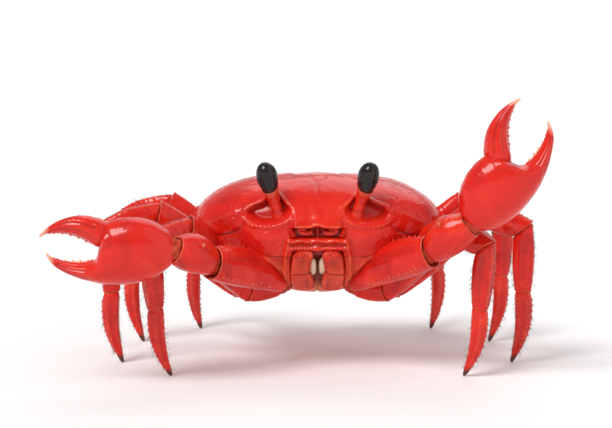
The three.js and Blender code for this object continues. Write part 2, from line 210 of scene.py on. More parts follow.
def uneven(points: Array, wavelength: float, seed: int) -> Array:
    """A gentle random swell between about -1 and 1.

    Args:
        points: Points of the surface.
        wavelength: Usual distance between two swells, in mm.
        seed: Which swell.

    Returns:
        One value for each point.
    """
    draw = np.random.default_rng(SEED + seed)
    total = np.zeros(points.shape[:-1])
    for _ in range(7):
        way = unit(draw.normal(size=3)) * 2 * np.pi / (wavelength * draw.uniform(0.7, 1.5))
        total += np.sin(points @ way + draw.uniform(0, 2 * np.pi))
    return total / 4


def scattered_grains(points: Array, where: Array, count: int, size: float, height: Pair,
                     seed: int) -> Array:
    """Low round grains scattered over part of a surface.

    Args:
        points: Points of the surface.
        where: Which of them may carry grains.
        count: How many grains.
        size: A grain's radius in mm.
        height: The lowest and the highest grain in mm.
        seed: Which scatter.

    Returns:
        The lift of each point, in mm.
    """
    draw = np.random.default_rng(SEED + seed)
    local = points[where]
    extra = np.zeros(len(local))
    for centre in local[draw.choice(len(local), count, replace=False)]:
        gap = np.sum((local - centre) ** 2, axis=-1)
        extra = np.maximum(extra, draw.uniform(*height) * np.exp(-gap / size**2))
    lift = np.zeros(where.shape)
    lift[where] = extra
    return lift


# Pieces


def add_object(name: str, data: bpy.types.ID) -> bpy.types.Object:
    """Adds an object to the scene.

    Args:
        name: Its name.
        data: Its mesh, lamp or camera.

    Returns:
        The object.
    """
    made = bpy.data.objects.new(name, data)
    bpy.context.scene.collection.objects.link(made)
    return made


@dataclass
class Piece:
    """One piece under construction, in millimetres, with its painted values."""

    name: str
    points: list[Array] = field(default_factory=list)
    faces: list[list[int]] = field(default_factory=list)
    paints: list[Array] = field(default_factory=list)
    spots: list[Array] = field(default_factory=list)  # places on the unwrap, where it has one
    count: int = 0

    def add_rings(self, rings: Array, **paint: Array | float) -> None:
        """Adds a closed surface through rings of points, with a fan over each end.

        Args:
            rings: Points as (ring, place on the ring, 3).
            **paint: Painted values by name, for each point, each ring or all.
        """
        rows, sides = rings.shape[:2]
        values = np.stack([np.broadcast_to(paint.get(kind.value, 0.0), (rows, sides))
                           for kind in Paint], axis=-1)
        self.points += [rings.reshape(-1, 3), rings[[0, -1]].mean(axis=1)]
        self.paints += [values.reshape(-1, len(Paint)), values[[0, -1]].mean(axis=1)]
        here = np.arange(rows * sides).reshape(rows, sides)
        after = np.roll(here, -1, axis=1)
        quads = np.stack([here[:-1], after[:-1], after[1:], here[1:]], axis=-1).reshape(-1, 4)
        corners = rings.reshape(-1, 3)
        a, b, c = (corners[quads[:, k]] for k in range(3))
        inward = np.sum(np.cross(b - a, c - a) * (a - corners.mean(axis=0))) < 0
        pole = np.full(sides, rows * sides)
        start = np.stack([pole, after[0], here[0]], axis=-1)
        end = np.stack([pole + 1, here[-1], after[-1]], axis=-1)
        for block in (quads, start, end):
            self.faces.extend(((block[:, ::-1] if inward else block) + self.count).tolist())
        self.count += rows * sides + 2

    def add_spike(self, root: Array, way: Array, length: float, radius: float,
                  bend: Array | float = 0.0, sides: int = 6, **paint: float) -> Array:
        """Adds a small pointed cone, for a spine, a tooth or a hair.

        Args:
            root: Middle of its base.
            way: The way it points.
            length: Its length in mm.
            radius: Its base's radius in mm.
            bend: How far its tip is bent aside, in mm.
            sides: How many sides it has.
            **paint: Painted values at its tip.

        Returns:
            Its points seen from the tip, as shares of its width.
        """
        way = unit(way)
        across = unit(np.cross(way, [0.31, 0.52, 0.79]))
        turn = column(np.linspace(0, 2 * np.pi, sides, endpoint=False))
        circle = np.cos(turn) * across + np.sin(turn) * np.cross(way, across)
        shares = np.array([-0.25, 0.0, 0.4, 0.75, 0.97])
        widths = np.array([1.25, 1.0, 0.72, 0.4, 0.1])
        rings = np.stack([root + way * length * s + bend * max(s, 0) ** 2 + circle * w * radius
                          for s, w in zip(shares, widths)])
        rise = column(ramp(shares, 0.1, 0.8))
        self.add_rings(rings, **{kind: value * rise for kind, value in paint.items()})
        flat = np.hstack([np.cos(turn), np.sin(turn)]) / 2.5
        return np.vstack([*(flat * w for w in widths), np.zeros((2, 2))])

    def make(self, material: Material, slot: Slot, *nodes: str) -> None:
        """Makes the object in metres in the row frame, under the body, and hides its CAD nodes.

        Args:
            material: Its material.
            slot: Not used.
            *nodes: The CAD nodes it stands for.
        """
        mesh = bpy.data.meshes.new(self.name)
        mesh.from_pydata(((np.vstack(self.points) + ANIMAL_SHIFT) * MM).tolist(), [], self.faces)
        mesh.polygons.foreach_set("use_smooth", np.ones(len(mesh.polygons), bool))
        values = np.clip(np.vstack(self.paints), 0, 1).astype(np.float32)
        for k, kind in enumerate(Paint):
            layer = mesh.attributes.new(kind.value, "FLOAT", "POINT")
            layer.data.foreach_set("value", np.ascontiguousarray(values[:, k]))
        if self.spots:
            corners = np.zeros(len(mesh.loops), np.int32)
            mesh.loops.foreach_get("vertex_index", corners)
            flat = np.vstack(self.spots)[corners].astype(np.float32)
            mesh.uv_layers.new(name="OFBake").data.foreach_set("uv", flat.ravel())
        mesh.materials.append(material)
        made = add_object(self.name, mesh)
        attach(made, "root")
        if nodes:
            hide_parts(*nodes)
        LOG.info("%s: %d faces", self.name, len(self.faces))


@dataclass(frozen=True)
class Ridge:
    """A raised or sunken line that runs along a limb piece."""

    angle: float  # degrees round the piece; 90 is its upper edge
    height: float  # mm; below 0 for a groove
    width: float = 9.0  # degrees
    start: float = 0.06
    end: float = 0.94
    beads: int = 0  # rounded grains along it
    fade: float = 0.06

    def shape(self, share: Array, angle: Array) -> Array:
        """How much of its height each place has.

        Args:
            share: Shares of the piece's length.
            angle: Degrees round the piece.

        Returns:
            A row of shares for each ring.
        """
        reach = (ramp(share, self.start, self.start + self.fade)
                 * ramp(share, self.end, self.end - self.fade))
        if self.beads:
            reach = reach * (0.35 + 0.65 * np.abs(np.sin(np.pi * share * self.beads)) ** 0.8)
        return column(reach) * bell((angle - self.angle + 180) % 360, 180, self.width)


@dataclass
class Loft:
    """Rings of points along a line, each with its own frame, in mm."""

    at: Array
    axis: Array
    up: Array
    side: Array
    half_up: Array
    half_side: Array
    share: Array
    lean: Array | float = 0.0
    sides: int = 40
    top_power: float = 2.3
    bottom_power: float = 2.3
    points: Array = field(init=False)  # as they were last shaped

    def __post_init__(self) -> None:
        """Gives every ring its own copy of a frame that all rings share."""
        self.axis, self.up, self.side = (
            np.broadcast_to(v, self.at.shape)[:, None, :] for v in (self.axis, self.up, self.side))

    @property
    def angles(self) -> Array:
        """The angle of each place on a ring; a right angle is up."""
        return np.linspace(0, 2 * np.pi, self.sides, endpoint=False)

    def nearest(self, share: float, angle: float) -> tuple[int, int]:
        """The ring and the place on it that are nearest to a share and an angle in degrees."""
        r = int(np.argmin(np.abs(self.share - share)))
        return r, int(round(angle % 360 / 360 * self.sides)) % self.sides

    def section(self) -> tuple[Array, Array]:
        """The ring's shape as unit coordinates across and up."""
        upper = np.sin(self.angles) > 0
        return squircle(self.angles, np.where(upper, self.top_power, self.bottom_power))

    def normals(self) -> Array:
        """Unit vectors out of the rings, in the plane of each one."""
        c, s = self.section()
        across, upward = c / column(self.half_side), s / column(self.half_up)
        return unit(across[..., None] * self.side + upward[..., None] * self.up)

    def rings(self, raised: Array | float = 0.0) -> Array:
        """The points of all rings, which it also keeps.

        Args:
            raised: How far each point is lifted, in mm.

        Returns:
            Points as (ring, place, 3).
        """
        c, s = self.section()
        across, rise = c * column(self.half_side), s * column(self.half_up)
        tip = rise * column(np.broadcast_to(self.lean, len(self.half_up)))
        lift = np.broadcast_to(raised, rise.shape)
        self.points = (self.at[:, None, :] + across[..., None] * self.side
                       + rise[..., None] * self.up + tip[..., None] * self.axis
                       + self.normals() * lift[..., None])
        return self.points

    def ridged(self, ridges: tuple[Ridge, ...]) -> tuple[Array, Array]:
        """The lift and the paint of a set of ridges.

        Args:
            ridges: The ridges and grooves.

        Returns:
            Each point's lift in mm and its share of ridge, below 0 in a groove.
        """
        lift = worn = np.zeros((len(self.share), self.sides))
        for ridge in ridges:
            shape = ridge.shape(self.share, np.degrees(self.angles))
            lift = lift + ridge.height * shape
            worn = worn + shape * np.clip(ridge.height / 0.3, -1, 1)
        return lift, worn


def straight_loft(start: Array, axis: Array, hint: Array, distances: Array, length: float,
                  half_up: Array, half_side: Array, bow: float = 0.0, **options: float) -> Loft:
    """A loft along a straight or slightly bowed line.

    Args:
        start: Where it starts.
        axis: The way along it.
        hint: The way its upper edge leans.
        distances: How far along it each ring is.
        length: Its length.
        half_up: Half height of each ring.
        half_side: Half thickness of each ring.
        bow: How far its middle is lifted.
        **options: More fields of the loft.

    Returns:
        The loft.
    """
    axis = unit(axis)
    side = unit(np.cross(axis, hint))
    up = np.cross(side, axis)
    share = np.clip(distances / length, 0, 1)
    at = start + axis * column(distances) + up * column(bow * np.sin(np.pi * share))
    return Loft(at, axis, up, side, half_up, half_side, share, **options)


def round_loft(path: Array, hint: Array, sizes: list[Pair], sides: int) -> Loft:
    """A round loft along a curve.

    Args:
        path: Points on the curve.
        hint: A way that the curve never takes.
        sizes: Shares of its length, each with a radius.
        sides: Places on a ring.

    Returns:
        The loft.
    """
    share = np.linspace(0, 1, len(path))
    tangent = unit(np.gradient(path, axis=0))
    across = unit(np.cross(tangent, hint))
    size = np.interp(share, *zip(*sizes))
    return Loft(path, tangent, np.cross(across, tangent), across, size, size, share, sides=sides)


# Materials


@dataclass
class Wire:
    """A value in a shader tree, and what can be made of it."""

    graph: "Graph"
    socket: bpy.types.NodeSocket

    def __mul__(self, other: "Wire | float") -> "Wire":
        """The two multiplied."""
        return self.graph.math("MULTIPLY", self, other)

    def __add__(self, other: "Wire | float") -> "Wire":
        """The two added."""
        return self.graph.math("ADD", self, other)

    def __sub__(self, other: "Wire | float") -> "Wire":
        """The second taken from the first."""
        return self.graph.math("SUBTRACT", self, other)

    def most(self, other: "Wire | float") -> "Wire":
        """The greater of the two."""
        return self.graph.math("MAXIMUM", self, other)

    def fit(self, low: float, high: float, to_low: float = 0.0, to_high: float = 1.0) -> "Wire":
        """The value mapped from one range to another, with smooth ends."""
        return self.graph.value("ShaderNodeMapRange", 0, dict(enumerate(
            (self, low, high, to_low, to_high))), interpolation_type="SMOOTHSTEP")


class Graph:
    """Adds nodes to a shader tree and links them."""

    def __init__(self, tree: Tree) -> None:
        """Takes the tree to add to."""
        self.tree = tree

    @classmethod
    def of_material(cls, name: str) -> tuple[Material, "Graph"]:
        """A new material with an empty tree.

        Args:
            name: Its name.

        Returns:
            The material and its graph.
        """
        material = bpy.data.materials.new(name)
        material.use_nodes = True
        material.node_tree.nodes.clear()
        return material, cls(material.node_tree)

    def node(self, kind: str, inputs: Inputs | None = None, **settings: object) -> bpy.types.Node:
        """Adds one node.

        Args:
            kind: Blender's name for it.
            inputs: Values or wires for its inputs.
            **settings: Its other properties.

        Returns:
            The node.
        """
        made = self.tree.nodes.new(kind)
        for key, value in settings.items():
            setattr(made, key, value)
        for key, value in (inputs or {}).items():
            self.feed(made.inputs[key], value)
        return made

    def feed(self, socket: bpy.types.NodeSocket, value: object) -> None:
        """Feeds an input.

        Args:
            socket: The input.
            value: A wire to link to it, or a value to set it to.
        """
        if isinstance(value, Wire):
            self.tree.links.new(value.socket, socket)
        else:
            is_colour = isinstance(value, tuple) and socket.type == "RGBA"
            socket.default_value = (*value, 1.0) if is_colour else value

    def value(self, kind: str, output: str | int, inputs: Inputs | None = None,
              **settings: object) -> Wire:
        """One output of a new node."""
        return Wire(self, self.node(kind, inputs, **settings).outputs[output])

    def place(self, group: Tree, inputs: Inputs) -> dict[str, Wire]:
        """Places a node group with its own values, and gives its outputs by name."""
        made = self.node("ShaderNodeGroup", inputs, node_tree=group)
        return {socket.name: Wire(self, socket) for socket in made.outputs}

    def math(self, operation: str, *values: Wire | float) -> Wire:
        """The result of a Math node."""
        return self.value("ShaderNodeMath", 0, dict(enumerate(values)), operation=operation)

    def mix(self, factor: Wire, a: Wire | Triple, b: Wire | Triple) -> Wire:
        """A mix of two colours."""
        return self.value("ShaderNodeMix", 2, {0: factor, 6: a, 7: b}, data_type="RGBA")

    def pattern(self, kind: str, output: str | int, **inputs: Wire | float) -> Wire:
        """A texture over the object's own coordinates."""
        where = self.value("ShaderNodeTexCoord", "Object")
        return self.value(kind, output, {"Vector": where, **inputs})

    def noise(self, scale: Wire | float, detail: float = 3.0, roughness: float = 0.5,
              distortion: float = 0.0) -> Wire:
        """A noise value."""
        return self.pattern("ShaderNodeTexNoise", 0, Scale=scale, Detail=detail,
                            Roughness=roughness, Distortion=distortion)

    def cells(self, scale: Wire | float) -> Wire:
        """The distance to the nearest point of a cell pattern."""
        return self.pattern("ShaderNodeTexVoronoi", "Distance", Scale=scale)

    def painted(self, kind: Paint) -> Wire:
        """A painted value."""
        return self.value("ShaderNodeAttribute", "Fac", attribute_name=kind.value)

    def finish(self, height: Wire, bump_mm: float, inputs: Inputs) -> None:
        """Adds the surface's shader over a bump.

        Args:
            height: The bump's height.
            bump_mm: What a height of 1 stands for.
            inputs: Values or wires for the shader.
        """
        bump = self.value("ShaderNodeBump", "Normal", {
            "Strength": 1.0, "Distance": bump_mm * MM, "Height": height})
        shader = self.value("ShaderNodeBsdfPrincipled", 0, {**inputs, "Normal": bump})
        self.node("ShaderNodeOutputMaterial", {"Surface": shader})


class Effects:
    """The node groups that several materials share."""

    def __init__(self) -> None:
        """Builds every group once."""
        self.mottle = self.make_mottle()
        self.relief = self.make_relief()
        self.grain = self.make_grain()

    @staticmethod
    def start(name: str, knobs: dict[str, float | Triple]) -> tuple[Graph, dict[str, Wire]]:
        """Starts a node group.

        Args:
            name: Its name.
            knobs: Its inputs with their usual values.

        Returns:
            Its graph, and its inputs as wires.
        """
        tree = bpy.data.node_groups.new(name, "ShaderNodeTree")
        for knob, value in knobs.items():
            kind = "NodeSocketColor" if isinstance(value, tuple) else "NodeSocketFloat"
            socket = tree.interface.new_socket(knob, in_out="INPUT", socket_type=kind)
            socket.default_value = (*value, 1.0) if isinstance(value, tuple) else value
        graph = Graph(tree)
        given = graph.node("NodeGroupInput").outputs
        return graph, {socket.name: Wire(graph, socket) for socket in given if socket.name}

    @staticmethod
    def end(graph: Graph, results: dict[str, Wire]) -> Tree:
        """Ends a node group.

        Args:
            graph: Its graph.
            results: Its outputs; the one named Color is a colour.

        Returns:
            The group.
        """
        for name in results:
            kind = "NodeSocketColor" if name == "Color" else "NodeSocketFloat"
            graph.tree.interface.new_socket(name, in_out="OUTPUT", socket_type=kind)
        graph.node("NodeGroupOutput", results)
        return graph.tree

    def make_mottle(self) -> Tree:
        """Clouds and flecks of a darker and a brighter tone over a base colour.

        Returns:
            The group.
        """
        g, given = self.start("shell_mottle", {
            "Base": (0.6, 0.02, 0.01), "Deep": (0.3, 0.01, 0.01), "Bright": (0.8, 0.1, 0.03),
            "Scale": 60.0, "Strength": 0.6})
        scale, strength = given["Scale"], given["Strength"]
        clouds = g.noise(scale, 4.0, 0.55, 0.6)
        fine = g.noise(scale * 9.0, 3.0, 0.6)
        specks = g.cells(scale * 14.0).fit(0.3, 0.12) * fine.fit(0.46, 0.66)
        tone = g.mix(clouds.fit(0.5, 0.74) * strength, given["Base"], given["Deep"])
        tone = g.mix(clouds.fit(0.5, 0.3) * strength * 0.8, tone, given["Bright"])
        tone = g.mix(specks * strength * 0.5, tone, given["Bright"])
        tone = g.mix(fine.fit(0.52, 0.7) * strength * 0.35, tone, given["Deep"])
        return self.end(g, {"Color": tone})

    def make_relief(self) -> Tree:
        """Dark joints, painted shade in creases, hollows and pits, worn ridges, pale joints, horny
        tips.

        Returns:
            The group.
        """
        g, given = self.start("painted_relief", {
            "Color": (0.6, 0.02, 0.01), "Crease": (0.12, 0.01, 0.01), "Worn": (0.85, 0.2, 0.08),
            "Pale": (0.9, 0.5, 0.25), "Horn": (0.05, 0.02, 0.01), "Crease Amount": 0.7,
            "Worn Amount": 0.35, "Pale Amount": 0.7, "Pits": 0.0})
        broken = g.noise(420.0, 3.0, 0.6)
        crease, ridge, pale, horn = (g.painted(kind) for kind in Paint)
        pale = (pale + (broken - 0.5) * 0.35).fit(0.15, 0.95) * given["Pale Amount"]
        rubbed = ridge.fit(0.1, 1.0) * broken.fit(0.3, 0.65) * given["Worn Amount"]
        # painted shade in creases, hollows and pits, and dark joints
        crease_and_shade_mix = (crease.fit(0.0, 1.0) * given["Crease Amount"]).most(given["Pits"] * 0.45)
        tone = g.mix(pale, given["Color"], given["Pale"])
        tone = g.mix(rubbed, tone, given["Worn"])
        tone = g.mix(crease_and_shade_mix, tone, given["Crease"])
        tone = g.mix(horn.fit(0.1, 0.9), tone, given["Horn"])
        return self.end(g, {"Color": tone, "Dullness": crease * 0.2 - ridge * 0.05})

    def make_grain(self) -> Tree:
        """Fine pits and low grains as a height, and the dullness that goes with them.

        Returns:
            The group.
        """
        g, given = self.start("shell_grain", {
            "Pit Scale": 900.0, "Pits": 0.5, "Grains": 0.4, "Waves": 0.5})
        scale = given["Pit Scale"]
        sparse = g.noise(scale * 0.25, 2.0).fit(0.4, 0.6)
        pits = g.cells(scale).fit(0.3, 0.12) * sparse
        pits = pits.most(g.cells(scale * 2.1).fit(0.32, 0.14) * 0.55) * given["Pits"]
        grains = g.noise(scale * 1.6, 4.0, 0.62) * given["Grains"]
        waves = g.noise(scale * 0.16, 2.0) * given["Waves"]
        smears = g.noise(70.0, 4.0, 0.6, 0.8)
        return self.end(g, {"Height": grains + waves - pits, "Pits": pits,
                            "Dullness": pits * 0.4 + smears})


@dataclass(frozen=True)
class ShellFinish:
    """Limy shell: mottle, dark joints, painted shade in creases, worn ridges, pale joints, waxy
    gloss.
    """

    name: str
    base: Triple
    deep: Triple
    bright: Triple
    # colour of dark joints and of the painted shade in creases, hollows and pits
    crease: Triple = (0.16, 0.008, 0.006)
    worn: Triple = (0.86, 0.16, 0.06)
    pale: Triple = (0.88, 0.36, 0.15)
    horn: Triple = (0.09, 0.022, 0.012)
    mottle_scale: float = 55.0
    mottle: float = 0.55
    crease_amount: float = 0.75
    worn_amount: float = 0.55
    pale_amount: float = 0.75
    pit_scale: float = 900.0
    pits: float = 0.5
    grains: float = 0.35
    waves: float = 0.6
    bump_mm: float = 0.16
    roughness: Pair = (0.26, 0.46)
    coat: float = 0.5
    coat_roughness: float = 0.11
    specular: float = 0.12

    def make(self, effects: Effects) -> Material:
        """Builds the material.

        Args:
            effects: The shared node groups.

        Returns:
            The material.
        """
        material, g = Graph.of_material(self.name)
        mottle = g.place(effects.mottle, {
            "Base": self.base, "Deep": self.deep, "Bright": self.bright,
            "Scale": self.mottle_scale, "Strength": self.mottle})
        grain = g.place(effects.grain, {
            "Pit Scale": self.pit_scale, "Pits": self.pits, "Grains": self.grains,
            "Waves": self.waves})
        relief = g.place(effects.relief, {
            "Color": mottle["Color"], "Crease": self.crease, "Worn": self.worn,
            "Pale": self.pale, "Horn": self.horn, "Crease Amount": self.crease_amount,
            "Worn Amount": self.worn_amount, "Pale Amount": self.pale_amount,
            "Pits": grain["Pits"]})
        rough = grain["Dullness"].fit(0.25, 0.8, *self.roughness) + relief["Dullness"]
        g.finish(grain["Height"], self.bump_mm, {
            "Base Color": relief["Color"], "Roughness": rough, "Coat Weight": self.coat,
            "Coat Roughness": self.coat_roughness, "Specular IOR Level": self.specular})
        return material


@dataclass(frozen=True)
class CorneaFinish:
    """A dark polished eye with the faint net of its facets."""

    name: str
    centre: Triple = (0.012, 0.008, 0.008)
    edge: Triple = (0.07, 0.03, 0.018)
    mottle_scale: float = 260.0
    facet_scale: float = 5200.0
    bump_mm: float = 0.012

    def make(self, effects: Effects) -> Material:
        """Builds the material.

        Args:
            effects: The shared node groups.

        Returns:
            The material.
        """
        material, g = Graph.of_material(self.name)
        mottle = g.place(effects.mottle, {
            "Base": self.centre, "Deep": self.centre, "Bright": self.edge,
            "Scale": self.mottle_scale})
        # on the cornea this value marks its browner rim
        rim = g.painted(Paint.CREASE).fit(0.0, 1.0)
        g.finish(g.cells(self.facet_scale), self.bump_mm, {
            "Base Color": g.mix(rim, mottle["Color"], self.edge), "Roughness": 0.2,
            "Coat Weight": 0.3, "Coat Roughness": 0.05, "Specular IOR Level": 0.2})
        return material


DEEP, BRIGHT = (0.38, 0.004, 0.002), (0.82, 0.04, 0.01)
FINISHES = (
    ShellFinish("carapace_shell", (0.65, 0.01, 0.004), DEEP, BRIGHT),
    ShellFinish(
        "leg_shell", (0.66, 0.012, 0.005), DEEP, BRIGHT, mottle_scale=90.0, mottle=0.68,
        pit_scale=1300.0, bump_mm=0.08),
    ShellFinish(
        "claw_shell", (0.68, 0.013, 0.005), (0.44, 0.006, 0.003), BRIGHT,
        pale=(0.93, 0.58, 0.38), mottle_scale=70.0, mottle=0.6, pit_scale=1100.0, bump_mm=0.1,
        roughness=(0.24, 0.4), coat=0.55),
    ShellFinish(
        "underside_shell", (0.63, 0.03, 0.014), (0.4, 0.012, 0.007), (0.8, 0.12, 0.04),
        crease=(0.2, 0.015, 0.008), pale=(0.84, 0.27, 0.11), mottle_scale=80.0,
        pit_scale=1000.0, bump_mm=0.12, roughness=(0.3, 0.5), coat=0.3),
    ShellFinish(
        "joint_skin", (0.52, 0.045, 0.022), (0.3, 0.014, 0.009), (0.74, 0.15, 0.06),
        mottle_scale=160.0, pit_scale=2200.0, grains=0.7, bump_mm=0.12,
        roughness=(0.42, 0.6), coat=0.0),
    ShellFinish(
        "bristle_horn", (0.13, 0.035, 0.018), (0.06, 0.02, 0.012), (0.32, 0.1, 0.04),
        mottle_scale=300.0, mottle=0.6, pits=0.0, grains=0.2, bump_mm=0.02,
        roughness=(0.38, 0.5), coat=0.0),
    ShellFinish(
        "jaw_ivory", (0.8, 0.6, 0.42), (0.6, 0.34, 0.2), (0.88, 0.76, 0.6),
        horn=(0.16, 0.05, 0.02), mottle_scale=300.0, bump_mm=0.05, roughness=(0.22, 0.4)),
)


class Wardrobe:
    """Every material of the animal, built once."""

    def __init__(self) -> None:
        """Builds the groups and the materials."""
        effects = Effects()
        (self.shell, self.limb, self.claw, self.underside, self.skin, self.bristle,
         self.ivory) = (finish.make(effects) for finish in FINISHES)
        self.cornea = CorneaFinish("eye_cornea").make(effects)


# Body


@dataclass
class Part:
    """A part of the animal, which builds its own pieces and dresses them."""

    wardrobe: Wardrobe


@dataclass(frozen=True)
class BodyForm:
    """The plain shape of the body: a dome above the widest line and a hull below it, in mm."""

    half_width: float = 52.5
    front_reach: float = 32.76
    back_reach: float = 51.24
    widest_y: float = -9.24
    rim_height: float = 59.0
    front_rim_rise: float = 1.0
    back_rim_drop: float = 12.0
    dome_height: float = 80.0
    belly_height: float = 30.0
    dome_power: float = 2.25
    flank_power: float = 1.5
    face_power: float = 2.2
    shoulder_power: float = 2.5
    rump_power: float = 1.85
    suture: float = radians(-20)

    def point(self, longitude: Array, latitude: Array) -> Array:
        """Points of the surface.

        Args:
            longitude: 0 is in front, and it turns to the left side; radians.
            latitude: 0 is the widest line, and a right angle the top; radians.

        Returns:
            The points in mm.
        """
        ahead, behind = (np.maximum(sign * np.cos(longitude), 0) for sign in (1, -1))
        plan = np.where(ahead > 0, self.shoulder_power, self.rump_power)
        forward, lateral = squircle(longitude, plan)
        reach = np.where(ahead > 0, self.front_reach, self.back_reach)
        flank = self.flank_power + (self.face_power - self.flank_power) * ahead**2
        spread, height = squircle(latitude, np.where(latitude > 0, self.dome_power, flank))
        rim = self.rim_height + self.front_rim_rise * ahead**2 - self.back_rim_drop * behind**2
        limit = np.where(latitude > 0, self.dome_height - rim, rim - self.belly_height)
        return np.stack([spread * lateral * self.half_width,
                         self.widest_y - spread * forward * reach, rim + height * limit], axis=-1)

    def longitudes(self, count: int, crowding: float = 2.2) -> Array:
        """Longitudes spread along the widest line, closer together over the face.

        Args:
            count: How many.
            crowding: How much closer they are there.

        Returns:
            The longitudes in radians.
        """
        turn = np.linspace(0, 2 * np.pi, 24001)
        line = self.point(turn, np.zeros_like(turn))
        step = np.linalg.norm(np.diff(line, axis=0), axis=1)
        weight = step * (1 + (crowding - 1) * ramp(-line[1:, 1], 8, 24))
        total = np.r_[0, np.cumsum(weight)]
        return np.interp(np.linspace(0, total[-1], count, endpoint=False), total, turn)

    def face_line(self, x: float, latitudes: Array) -> tuple[Array, Array, Array]:
        """A line down the face.

        Args:
            x: How far to the left of the middle it is, in mm.
            latitudes: The places on it, in radians.

        Returns:
            Its points, the ways up it and the ways out of the face.
        """
        spread = squircle(latitudes, self.face_power)[0] * self.half_width
        turn = np.arcsin((abs(x) / spread).clip(0, 1) ** (self.shoulder_power / 2)) * np.sign(x)
        at = self.point(turn, latitudes)
        along = unit((at - self.point(turn, latitudes - 0.02)) * [0, 1, 1])
        out = np.cross(along, ACROSS)
        return at, along, out * np.where(out[:, 1:2] < 0, 1, -1)


class Band(NamedTuple):
    """A raised or sunken band in mm; its tone is worn bright above 0, and painted shade below 0."""

    middle: float
    width: float
    height: float
    tone: float


class Relief:
    """A grid of points over the body, and how it is shaped and painted there."""

    def __init__(self, form: BodyForm, columns: int, latitude: Array) -> None:
        """Lays out the plain grid.

        Args:
            form: The body's plain shape.
            columns: How many places it has round the body.
            latitude: Each row's latitude in radians.
        """
        self.grid = form.point(form.longitudes(columns)[None, :], column(latitude))
        self.x, self.y, self.z = np.abs(self.grid[..., 0]), self.grid[..., 1], self.grid[..., 2]
        self.degrees = np.degrees(np.broadcast_to(column(latitude), self.x.shape))
        across = np.roll(self.grid, -1, axis=1) - np.roll(self.grid, 1, axis=1)
        normals = unit(np.cross(across, np.gradient(self.grid, axis=0)))
        outside = np.sign(np.sum(normals * (self.grid - [0, 0, form.rim_height])))
        self.normals = normals * outside
        # the third of these holds dark joints and painted shade in grooves and hollows, the fourth
        # wear
        self.lift, self.pull, self.crease, self.ridge = np.zeros((4, *self.x.shape))

    def mark(self, shape: Array, height: float, tone: float = 0.0) -> None:
        """Raises or sinks a shape, and rubs it bright or darkens it with painted shade.

        Args:
            shape: Each point's share of the height.
            height: The height in mm, below 0 for a hollow.
            tone: How bright it is worn or, below 0, how much painted shade it gets.
        """
        self.lift += height * shape
        tinted = self.ridge if tone > 0 else self.crease
        np.maximum(tinted, abs(tone) * shape, out=tinted)

    def band(self, across: Array, size: Band, where: Array) -> None:
        """Raises or sinks a band; across is the distance from the line it follows."""
        self.mark(bell(across, size.middle, size.width) * where, size.height, size.tone)

    def surface(self) -> Array:
        """The shaped points; what is pulled goes straight backwards, into the body."""
        return (self.grid + self.normals * self.lift[..., None]
                + self.pull[..., None] * np.array([0.0, 0.99, 0.1]))


